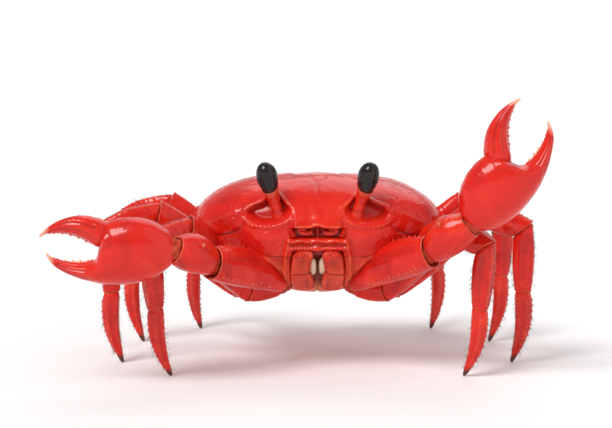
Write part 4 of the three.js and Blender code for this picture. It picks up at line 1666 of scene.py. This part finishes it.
class LegPart(Enum):
    """The pieces of a walking leg, from the body outwards."""

    COXA = LimbForm(
        (4.6, 5.4, 4.4), (4.2, 4.6, 3.4), 0.5, 0,
        (Ridge(-60, 0.3, 12), Ridge(60, 0.25, 12), Ridge(90, -0.2, 14)), head=0.9, root=5)
    MERUS = LimbForm(
        (4.4, 7.6, 5.4), (3.2, 4.3, 3.8), 0.5, 0.8,
        (Ridge(90, 0.3, 7, 0.1, 0.97, 26), Ridge(-90, -0.25, 12, 0.15, 0.95),
         *edge_lines((-58, -122), 0.32, 8, 0.12, 0.96, 22),
         *edge_lines((20, 160), -0.16, 16, 0.3, 0.95)),
        top_power=1.9, bottom_power=2.6, rugae=0.2)
    CARPUS = LimbForm(
        (4.6, 5.7, 4.5), (3.2, 4.1, 3.4), 0.6, 0.9,
        (*edge_lines((58, 122), 0.35, 8, 0.1, 0.97, 11), Ridge(90, -0.25, 13, 0.1, 0.95),
         *edge_lines((0, 180), 0.18, 9, 0.2, 0.95)), rugae=0.17)
    PROPODUS = LimbForm(
        (4.2, 4.8, 3.5), (3, 3.2, 2.6), 0.4, 0.3,
        (*edge_lines((62, 118, -62, -118), 0.28, 8, 0.06, 0.97, 17),
         *edge_lines((90, -90), -0.26, 12, 0.06, 0.95),
         *edge_lines((0, 180), -0.18, 16, 0.1, 0.92)), rugae=0.08)
    DACTYLUS = LimbForm(
        (3.4, 3.5, 0.8), (2.6, 2.7, 0.8), 0.15, 2.2,
        (*edge_lines((90, 30, 150, -32, -148, -90), 0.26, 10, 0.04, 0.88),
         *edge_lines((0, 180), -0.2, 9, 0.05, 0.8)))


@dataclass(frozen=True)
class LegSpec:
    """Where a leg starts and stands, and how long its pieces are, for the left side, in mm."""

    root: Triple
    foot: Pair
    lengths: Row
    bulk: float


LEGS = (
    LegSpec((17, -11, 32), (60, -43), (15, 41, 19, 25, 29.5), 0.96),
    LegSpec((18, -1, 31.5), (83, -17), (17, 47, 20.5, 26.5, 31), 1),
    LegSpec((17, 11, 31.5), (79, 27), (17, 46, 20.5, 26.5, 31), 1),
    LegSpec((14, 22, 32.5), (55, 58), (15, 37, 17.5, 23.5, 28.5), 0.9),
)


@dataclass
class Leg(Part):
    """A walking leg that stands on the floor."""

    side: Side
    number: int
    spec: LegSpec
    coxa_slope: float = radians(-3)
    carpus_share: float = 0.45
    toe_tuck: float = radians(9)
    spines_per_row: int = 10
    spine_radius: float = 0.24
    spine_rows: Row = (90, 30, 150, -32, -148)
    hair_rows: Row = (62, 118, -62, -118, 90, -90)
    hairs: tuple[int, ...] = (0, 0, 60, 100, 66)  # on each piece

    def five(self, merus: float, shin: float) -> Array:
        """The slopes of all five pieces, from the two that are free."""
        return np.array([self.coxa_slope, merus, merus + (shin - merus) * self.carpus_share, shin,
                         shin - self.toe_tuck])

    def slopes(self, reach: float, drop: float) -> Array:
        """The five pieces' slopes that set the tip of the leg on its foot.

        Args:
            reach: Level distance from root to foot.
            drop: How far the foot is below the root.

        Returns:
            Five slopes in radians.
        """
        lengths = np.array(self.spec.lengths)
        free = np.radians([30.0, -70.0])
        share = np.stack([self.five(*way) - self.five(0.0, 0.0) for way in np.eye(2)])
        for _ in range(12):
            five = self.five(*free)
            along, rise = lengths * np.cos(five), lengths * np.sin(five)
            miss = np.array([along.sum() - reach, rise.sum() + drop])
            free = free - np.linalg.solve(np.stack([share @ -rise, share @ along]), miss)
        return self.five(*free)

    def pieces(self) -> list[LimbPiece]:
        """The leg's pieces from the body to the toe.

        Returns:
            Five pieces.
        """
        start = self.side.place(*self.spec.root)
        flat = (self.side.place(*self.spec.foot, 0.0) - start) * [1, 1, 0]
        slopes = self.slopes(float(np.linalg.norm(flat)), start[2])
        level = unit(flat)
        made = []
        for i, (part, slope) in enumerate(zip(LegPart, slopes)):
            last = part is LegPart.DACTYLUS
            before = (slopes[i - 1] - slope) / 2 if i else 0.0
            after = pi / 2 + slope if last else (slope - slopes[i + 1]) / 2
            axis = level * cos(slope) + UPWARD * sin(slope)
            made.append(LimbPiece(
                f"leg_{self.side}_{self.number}_{part.name.lower()}", start, axis,
                UPWARD * cos(slope) - level * sin(slope), self.spec.lengths[i],
                part.value, (before, after), 1.0 if last else self.spec.bulk,
                sides=36 if last else 40, step=0.45, tip=last))
            start = start + axis * self.spec.lengths[i]
        return made

    def build(self) -> None:
        """Builds the leg's shell, its joint skins and its bristles."""
        pieces = self.pieces()
        draw = np.random.default_rng(SEED + 40 * self.number + (7 if self.side is Side.LEFT else 0))
        hairs = Bristles(f"bristles_{self.side}_{self.number}")
        for i, limb in enumerate(pieces):
            piece = Piece(f"{limb.name}_shell")
            loft = limb.add_to(piece, 10 * self.number + i)
            if limb.tip:
                self.add_spines(piece, loft, draw)
            hairs.grow(loft, limb.axis, (i, 5), self.hair_rows, self.hairs[i], draw)
            piece.make(self.wardrobe.limb, Slot.LIMB, limb.name)
        skin = Piece(f"joint_skin_{self.side}_{self.number}")
        root = pieces[0]
        add_folds(skin, root.start, root.axis, root.up, (4.1 * root.scale, 3.8 * root.scale), 3.2,
                  self.number)
        for before, after in zip(pieces, pieces[1:]):
            add_joint_skin(skin, before, after)
        skin.make(self.wardrobe.skin, Slot.LIMB)
        hairs.make(self.wardrobe.bristle, Slot.LIMB)

    def add_spines(self, piece: Piece, loft: Loft, draw: np.random.Generator) -> None:
        """Adds the rows of short horny spines along the toe.

        Args:
            piece: Where to add them.
            loft: The toe's loft.
            draw: The leg's random numbers.
        """
        for angle in self.spine_rows:
            for k in range(self.spines_per_row):
                share = 0.1 + 0.74 * (k + draw.uniform(-0.25, 0.25)) / (self.spines_per_row - 1)
                at = loft.nearest(share, angle)
                length = draw.uniform(0.75, 1.15) * (1.15 - 0.5 * share)
                way = loft.normals()[at] * 0.8 + loft.axis[at[0], 0] * 0.75
                piece.add_spike(loft.points[at], way, length, self.spine_radius, horn=1.0)


def add_folds(piece: Piece, middle: Array, axis: Array, hint: Array, half: Pair, reach: float,
              seed: int) -> None:
    """Adds a sleeve of soft, unevenly folded skin round a joint.

    Args:
        piece: Where to add it.
        middle: Middle of the joint.
        axis: The way through it.
        hint: The way its upper side leans.
        half: Its half height and half thickness in mm.
        reach: How far it reaches both ways, in mm.
        seed: Which folds.
    """
    share = np.linspace(-1, 1, 27)
    size = 1 - 0.13 * share**2 + 0.03 * np.sin(7.5 * share + seed)
    loft = straight_loft(middle, axis, hint, share * reach, 1.0, half[0] * size, half[1] * size)
    coarse, fine = uneven(loft.rings(), 3.4, seed), uneven(loft.rings(), 1.2, seed + 1)
    # painted shade in the hollows between the folds
    piece.add_rings(loft.rings(0.17 * coarse + 0.06 * fine), crease=0.4 - 0.4 * coarse, ridge=fine)


def add_joint_skin(piece: Piece, before: LimbPiece, after: LimbPiece) -> None:
    """Adds the skin between two limb pieces.

    Args:
        piece: Where to add it.
        before: The piece nearer the body.
        after: The piece beyond it.
    """
    half_up = before.form.half_up[2] * before.scale + after.form.half_up[0] * after.scale
    half_side = before.form.half_side[2] * before.scale + after.form.half_side[0] * after.scale
    add_folds(piece, after.start, unit(before.axis + after.axis), before.up,
              (0.4 * half_up / cos(before.bends[1]), 0.4 * half_side), 2.2,
              int(after.length * 10))


@dataclass
class Bristles(Piece):
    """Stiff hairs as solid curved cones, laid out on an unwrap of the limb they grow from."""

    radius: float = 0.075
    length: Pair = (1.1, 2.6)
    patch: float = 0.003  # how wide one hair is on the unwrap

    def grow(self, loft: Loft, lie: Array, band: Pair, edges: Row,
             amount: int, draw: np.random.Generator) -> None:
        """Grows hairs along the edges of a piece.

        Args:
            loft: The piece's loft.
            lie: The way the hairs lean.
            band: The piece's band of the unwrap, and how many there are.
            edges: The edges' angles in degrees.
            amount: How many hairs.
            draw: The random numbers.
        """
        rings, normals = loft.points, loft.normals()
        for _ in range(amount):
            r = int(draw.uniform(0.12, 0.9) * len(rings))
            _, j = loft.nearest(0.0, draw.choice(edges) + draw.normal(0, 9))
            way = unit(normals[r, j] + lie * draw.uniform(0.5, 1.1) + draw.normal(0, 0.12, 3))
            length = draw.uniform(*self.length)
            if rings[r, j, 2] < 1.5 * length:
                continue
            flat = self.add_spike(rings[r, j], way, length, self.radius, lie * 0.35 * length, 3)
            spot = np.array([(band[0] + r / len(rings)) / band[1], j / loft.sides])
            self.spots.append(np.clip(spot, self.patch, 1 - self.patch) + flat * self.patch)


# Claws


@dataclass(frozen=True)
class ClawPart:
    """The palm with its fixed finger, or the moving finger, in outline units and degrees."""

    word: str
    outline: Rows  # distance, upper edge, lower edge, half
    ridges: tuple[Ridge, ...]
    cutting_edge: float
    teeth: Triple  # where they start and end, and their height
    pale_tip: Pair
    grains: Rows  # angle, spread, from, to, count, size, height, seed

    @property
    def length(self) -> float:
        """The outline's length."""
        return self.outline[-1][0]

    def sizes(self, distance: Array) -> Array:
        """The upper edge, the lower edge and the half thickness, on smooth curves.

        Args:
            distance: Distances along the piece.

        Returns:
            The three for each distance.
        """
        table = np.array(self.outline)
        x, y = table[:, 0], table[:, 1:]
        ahead = np.minimum(np.arange(len(x)) + 1, len(x) - 1)
        behind = np.maximum(np.arange(len(x)) - 1, 0)
        slope = (y[ahead] - y[behind]) / column(x[ahead] - x[behind])
        i = np.clip(np.searchsorted(x, distance, side="right") - 1, 0, len(x) - 2)
        span = column(x[i + 1] - x[i])
        t = column(distance - x[i]) / span
        return ((1 - t) ** 2 * ((1 + 2 * t) * y[i] + t * span * slope[i])
                + t**2 * ((3 - 2 * t) * y[i + 1] - (1 - t) * span * slope[i + 1]))


PALM = ClawPart(
    "palm",
    ((0, 4.6, -4.6, 4.4), (3, 8.4, -7.6, 6.4), (9, 12.4, -11.2, 8.8), (17, 14.2, -13.2, 10),
     (24, 13.6, -13.6, 9.8), (28.5, 11.4, -13.4, 9), (30.5, 5.5, -13.1, 8.4),
     (32.5, -1.2, -12.7, 7.6), (36, -3.6, -11.8, 6.2), (40, -4.2, -10.6, 5), (44, -3.9, -8.9, 4),
     (48, -2.9, -6.8, 2.9), (51.5, -1.2, -4.2, 1.9), (54, 1.2, -0.6, 0.8)),
    (*edge_lines((12, 168, 325, 215), -0.42, 9, 0.63, 0.96), Ridge(270, 0.28, 9, 0.11, 0.98)),
    90, (35.2, 50.5, 1), (48.5, 53.5),
    ((90, 45, 2, 27, 190, 0.42, 0.2, 60), (270, 35, 20, 46, 110, 0.4, 0.14, 62)))
FINGER = ClawPart(
    "finger",
    ((0, 4.4, -4.4, 4.6), (3.5, 6.2, -5, 6), (8, 6.6, -3.6, 5.4), (13, 6, -2.4, 4.6),
     (18, 4, -2.6, 3.6), (22, 1.4, -3.6, 2.6), (25.5, -2.2, -5.2, 1.7), (28, -6, -7.6, 0.8)),
    (*(Ridge(angle, -0.34, 10, 0.1, 0.93, fade=0.12) for angle in (20, 160)),
     *(Ridge(angle, -0.27, 9, 0.1, 0.93, fade=0.12) for angle in (340, 200)),
     Ridge(90, 0.2, 12, -1, 0.79, fade=0.36)),
    270, (7, 24, 0.8), (22.8, 27.5), ((90, 55, 2, 18, 130, 0.38, 0.2, 70),))


@dataclass(frozen=True)
class ClawSpec:
    """How one claw is held, in mm."""

    side: Side
    shoulder: Triple
    elbow: Triple
    wrist: Triple
    pointing: Triple
    gape: float


CLAWS = (
    ClawSpec(Side.RIGHT, (-15, -27, 37), (-42, -53, 48), (-56, -64, 55), (-1, 0, -0.04),
             radians(17)),
    ClawSpec(Side.LEFT, (15, -27, 37), (45, -50, 52), (60, -58, 64), (0.6, 0, 0.8),
             radians(33)),
)


@dataclass
class Claw(Part):
    """A claw: arm, wrist, palm with its fixed finger, and the moving finger."""

    spec: ClawSpec
    length: float = 0.48 * 105
    hinge: Pair = (27.5, 6.2)
    sides: int = 72
    tooth_sizes: Row = (0.7, 1.3, 0.9, 1.7, 1.1, 1.5, 0.8, 1.1, 0.7, 0.8, 0.5)
    arm: LimbForm = LimbForm(
        (5, 8, 6.6), (4.6, 6.4, 5.6), 0.62, 1.2,
        (Ridge(90, 0.4, 8, 0.2, 0.98, 20), Ridge(90, -0.5, 60, 0.19, 0.25),
         *edge_lines((-40, -140), 0.4, 8, 0.2, 0.98, 18),
         *edge_lines((25, 155), -0.2, 18, 0.3, 0.95)),
        top_power=1.85, bottom_power=2.5, head=0.9, root=5.5, rugae=0.14)
    wrist: LimbForm = LimbForm(
        (5, 8, 5.2), (4.8, 7.4, 5), 0.55, 1,
        (Ridge(70, 0.25, 10, 0.15, 0.97, 9), Ridge(-90, -0.3, 14, 0.1, 0.9)),
        head=0.78, rugae=0.1)
    boss: Triple = (1.4, 1.9, 0.5)  # round the hinge: its middle before it, width and height
    boss_groove: Triple = (3.1, 0.8, 0.22)  # its radius, width and depth

    def __post_init__(self) -> None:
        """Finds the scale and the palm's axis, up and side vectors."""
        self.scale = self.length / PALM.length
        self.axis = unit(np.array(self.spec.pointing))
        self.up = unit(np.cross([0.0, -1.0, 0.0], self.axis) * self.spec.side.value)
        self.across = np.cross(self.axis, self.up)

    def build(self) -> None:
        """Builds the whole claw."""
        name = f"claw_{self.spec.side}"
        shoulder, elbow, wrist = (
            np.array(p, float) for p in (self.spec.shoulder, self.spec.elbow, self.spec.wrist))
        c, s = cos(self.spec.gape), sin(self.spec.gape)
        hinge = wrist + (self.axis * self.hinge[0] + self.up * self.hinge[1]) * self.scale
        axis, up = self.axis * c + self.up * s, self.up * c - self.axis * s
        self.build_part(PALM, wrist, self.axis, self.up)
        self.build_part(FINGER, hinge, axis, up)
        arm = LimbPiece.between(f"{name}_arm", shoulder, elbow, UPWARD, self.arm)
        hand = LimbPiece.between(f"{name}_wrist", elbow, wrist, self.up, self.wrist)
        for number, limb in enumerate((arm, hand)):
            piece = Piece(f"{limb.name}_shell")
            loft = limb.add_to(piece, 90 + number)
            if limb is arm:
                self.add_grains(piece, loft)
            else:
                self.add_tooth(piece, loft)
            piece.make(self.wardrobe.limb, Slot.LIMB, limb.name)
        skin = Piece(f"claw_skin_{self.spec.side}")
        add_folds(skin, shoulder, arm.axis, arm.up, (4.6, 4.3), 3.4, 3)
        add_joint_skin(skin, arm, hand)
        add_folds(skin, wrist, unit(hand.axis + self.axis), hand.up, (4.2, 4.0), 2.6, 5)
        add_folds(skin, hinge + axis * 1.1, axis, up, (4.9, 5.0), 1.6, 8)
        skin.make(self.wardrobe.skin, Slot.LIMB)

    @staticmethod
    def add_grains(piece: Piece, loft: Loft) -> None:
        """Adds blunt grains along the arm's edges.

        Args:
            piece: Where to add them.
            loft: The arm's loft.
        """
        for angle in (-140, -40, 90):
            for share in np.linspace(0.3, 0.95, 11):
                at = loft.nearest(share, angle)
                way = loft.normals()[at] + loft.axis[0, 0] * 0.4
                piece.add_spike(loft.points[at], way, 0.8, 0.45, pale=0.3)

    def add_tooth(self, piece: Piece, loft: Loft) -> None:
        """Adds the short tooth at the wrist's inner angle.

        Args:
            piece: Where to add it.
            loft: The wrist's loft.
        """
        toward = np.array([-self.spec.side.value, -0.6, 0.3])
        r = loft.nearest(0.6, 0)[0]
        j = int(np.argmax(loft.normals()[r] @ toward))
        piece.add_spike(loft.points[r, j], toward + loft.axis[0, 0] * 0.8, 2.8, 1.25, sides=16,
                        pale=0.6)

    def teeth(self, distance: Array, first: float, last: float, height: float) -> Array:
        """Blunt teeth of mixed sizes along a cutting edge.

        Args:
            distance: Where the rings are.
            first: Where the teeth start.
            last: Where they end.
            height: Their height as a share of the usual one.

        Returns:
            Their height at each ring, in outline units.
        """
        places = np.linspace(first, last, len(self.tooth_sizes))
        half = 0.52 * (places[1] - places[0])
        domes = np.sqrt(np.clip(1 - ((column(distance) - places) / half) ** 2, 0, 1))
        return height * np.max(domes * self.tooth_sizes, axis=1)

    def build_part(self, part: ClawPart, origin: Array, axis: Array, up: Array) -> None:
        """Builds the palm or the moving finger.

        Args:
            part: Which of them.
            origin: Where it starts.
            axis: The way along it.
            up: The way to its upper edge.
        """
        d = np.r_[-1.6, -1.2, -0.5, np.arange(0.2, part.length - 0.4, 0.3),
                  part.length - np.array([0.25, 0.08, 0.0])]
        taper = np.interp(d, [-1.6, -1.2, -0.5, 0.4, 1.4], [0.45, 0.68, 0.86, 0.95, 1])
        taper[-3:] = (0.92, 0.75, 0.5)
        top, bottom, thick = part.sizes(np.maximum(d, 0)).T * self.scale
        at = origin + axis * column(d * self.scale) + up * column((top + bottom) / 2)
        loft = Loft(at, axis, up, self.across, (top - bottom) / 2 * taper, thick * taper,
                    np.maximum(d, 0) / part.length, sides=self.sides, top_power=2.15,
                    bottom_power=2.15)
        angle, plain = np.degrees(loft.angles), loft.rings()
        lift, worn = loft.ridged(part.ridges)
        teeth = column(self.teeth(d, *part.teeth)) * bell(angle, part.cutting_edge, 13)
        for middle, spread, near, far, count, size, height, seed in part.grains:
            where = (abs(angle - middle) < spread) & column((d > near) & (d < far))
            grains = scattered_grains(plain, where, count, size, (0.3 * height, height), seed)
            lift, worn = lift + grains, worn + 2.5 * grains
        # painted shade in the grooves, and on the base that sits inside the wrist or the hinge
        crease = np.maximum(-0.55 * worn, 0.9 * column(ramp(d, 0.8, -1.0)))
        if part is PALM:
            local = (plain - origin) / self.scale
            level = local @ up - self.hinge[1]
            past, width, height = self.boss
            pivot = np.hypot(local @ axis - self.hinge[0] - past, level)
            side_on = ramp(np.abs(np.cos(loft.angles)), 0.35, 0.7)
            boss = bell(pivot, 0, width) * side_on
            ring = bell(pivot, *self.boss_groove[:2]) * side_on
            web = column(bell(d, 31.6, 1.5)) * ramp(level, -9.2, -4.2)
            lift = lift + height * boss - self.boss_groove[2] * ring
            worn = worn + 0.4 * boss
            # painted shade in the groove round the boss and where the moving finger's base meets
            # the palm
            crease = np.maximum.reduce([crease, 0.4 * ring, 0.8 * web])
        name = f"claw_{self.spec.side}_{part.word}"
        piece = Piece(f"{name}_shell")
        pale = column(0.85 * ramp(d, *part.pale_tip) + 0.25 * ramp(d, 2.5, 0))
        piece.add_rings(loft.rings(lift + teeth * self.scale + 0.1 * uneven(plain, 12.0, 61)),
                        crease=crease, ridge=0.8 * worn, pale=pale + 0.95 * ramp(teeth, 0.15, 0.9))
        piece.make(self.wardrobe.claw, Slot.CLAW, name)


# Studio


@dataclass
class Studio:
    """Floor, light and camera."""

    frame_size: Pair = (612, 428)
    shown: Row = (39, 113, 554, 361)  # where the animal is seen, in pixels
    elevation: float = radians(6.5)
    lens: float = 85.0
    sensor: float = 36.0
    floor_half: float = 30.0
    dome: float = 0.34  # brightness of the studio overhead
    horizon: float = 1.05  # and level with the floor
    lamps: tuple[tuple[str, Triple, float, float], ...] = (  # name, way, strength, width
        ("key_light", (-0.55, -0.62, 1.0), 2.2, radians(28)),
        ("fill_light", (0.9, -0.55, 0.75), 0.55, radians(60)),
        ("back_light", (0.25, 0.8, 0.9), 0.7, radians(50)))

    def build(self) -> None:
        """Builds the floor, the lights and the camera."""
        self.build_floor()
        self.build_lights()
        self.build_camera()
        bpy.context.scene.view_settings.view_transform = "Standard"

    def build_lights(self) -> None:
        """Adds soft far-off lamps, and a studio that is white at floor level, dimmer overhead."""
        for name, way, strength, width in self.lamps:
            lamp = bpy.data.lights.new(name, "SUN")
            lamp.energy = strength
            lamp.angle = width
            made = add_object(name, lamp)
            made.location = way
            made.rotation_euler = (-Vector(way)).to_track_quat("-Z", "Y").to_euler()
        world = bpy.data.worlds.new("studio_world")
        world.use_nodes = True
        g = Graph(world.node_tree)
        way = g.value("ShaderNodeTexCoord", "Generated")
        height = g.value("ShaderNodeSeparateXYZ", "Z", {0: way})
        background = world.node_tree.nodes["Background"].inputs
        g.feed(background["Color"], (1.0, 1.0, 1.0))
        g.feed(background["Strength"], height.fit(0.09, 0.3, self.horizon, self.dome))
        bpy.context.scene.world = world

    def build_floor(self) -> None:
        """Builds the pale floor."""
        half = self.floor_half
        corners = [(x * half, y * half, -0.2 * MM) for x, y in ((-1, -1), (1, -1), (1, 1), (-1, 1))]
        mesh = bpy.data.meshes.new("floor")
        mesh.from_pydata(corners, [], [(0, 1, 2, 3)])
        material, g = Graph.of_material("pale_floor")
        pale = g.mix(g.noise(3.0), (0.93, 0.93, 0.93), (0.9, 0.9, 0.9))
        g.finish(g.noise(900.0), 0.02, {
            "Base Color": pale, "Roughness": 0.7, "Specular IOR Level": 0.15})
        mesh.materials.append(material)
        made = add_object("floor", mesh)
        made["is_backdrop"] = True

    def build_camera(self) -> None:
        """Adds the camera, placed so that the animal fills its part of the frame."""
        corners = np.vstack([np.array([v.co[:] for v in o.data.vertices])[::7]
                             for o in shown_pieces()])
        width, height = self.frame_size
        pixels = self.lens / self.sensor * width
        look = np.array([0.0, cos(self.elevation), -sin(self.elevation)])
        up = np.cross(ACROSS, look)
        target = (corners.min(axis=0) + corners.max(axis=0)) / 2
        distance = 0.6
        left, top, right, bottom = self.shown
        for _ in range(12):
            local = corners - (target - look * distance)
            scale = pixels / (local @ look)
            across = width / 2 + scale * (local @ ACROSS)
            down = height / 2 - scale * (local @ up)
            distance *= np.ptp(across) / (right - left)
            off_x = (across.max() + across.min() - left - right) / 2
            off_y = (down.max() + down.min() - top - bottom) / 2
            target = target + (ACROSS * off_x - up * off_y) * distance / pixels
        lens = bpy.data.cameras.new("camera")
        lens.lens = self.lens
        lens.sensor_width = self.sensor
        lens.clip_start = 0.01
        lens.clip_end = 120.0
        made = add_object("camera", lens)
        made.location = (target - look * distance).tolist()
        made.rotation_euler = Vector(look.tolist()).to_track_quat("-Z", "Y").to_euler()
        bpy.context.scene.camera = made
        LOG.info("camera %.3f m away; animal %.0f to %.0f px across, %.0f to %.0f px down",
                 distance, across.min(), across.max(), down.min(), down.max())


# Assembly


@dataclass
class LandCrab:
    """The whole animal."""

    wardrobe: Wardrobe
    form: BodyForm = BodyForm()
    leg_socket: float = 5.2
    claw_socket: float = 6.4

    def build(self) -> None:
        """Builds every piece."""
        dress, form = self.wardrobe, self.form
        legs = [Leg(dress, side, number, spec) for side in Side
                for number, spec in enumerate(LEGS, start=1)]
        roots = [leg.pieces()[0] for leg in legs]
        sockets = [(root.start, root.axis, self.leg_socket) for root in roots]
        for spec in CLAWS:
            start, end = np.array(spec.shoulder), np.array(spec.elbow)
            sockets.append((start, unit(end - start), self.claw_socket))
        parts = [Carapace(dress, form), Thorax(dress, form, sockets), Abdomen(dress, form)]
        for side in Side:
            parts += [Eye(dress, side), Feeler(dress, side), Mouthpart(dress, side, form)]
        for part in (*parts, *(Claw(dress, spec) for spec in CLAWS), *legs):
            part.build()


def main() -> None:
    """Builds the animal and the studio."""
    logging.basicConfig(level=logging.INFO, format="%(message)s")
    LandCrab(Wardrobe()).build()
    Studio().build()


if __name__ == "__main__":
    main()
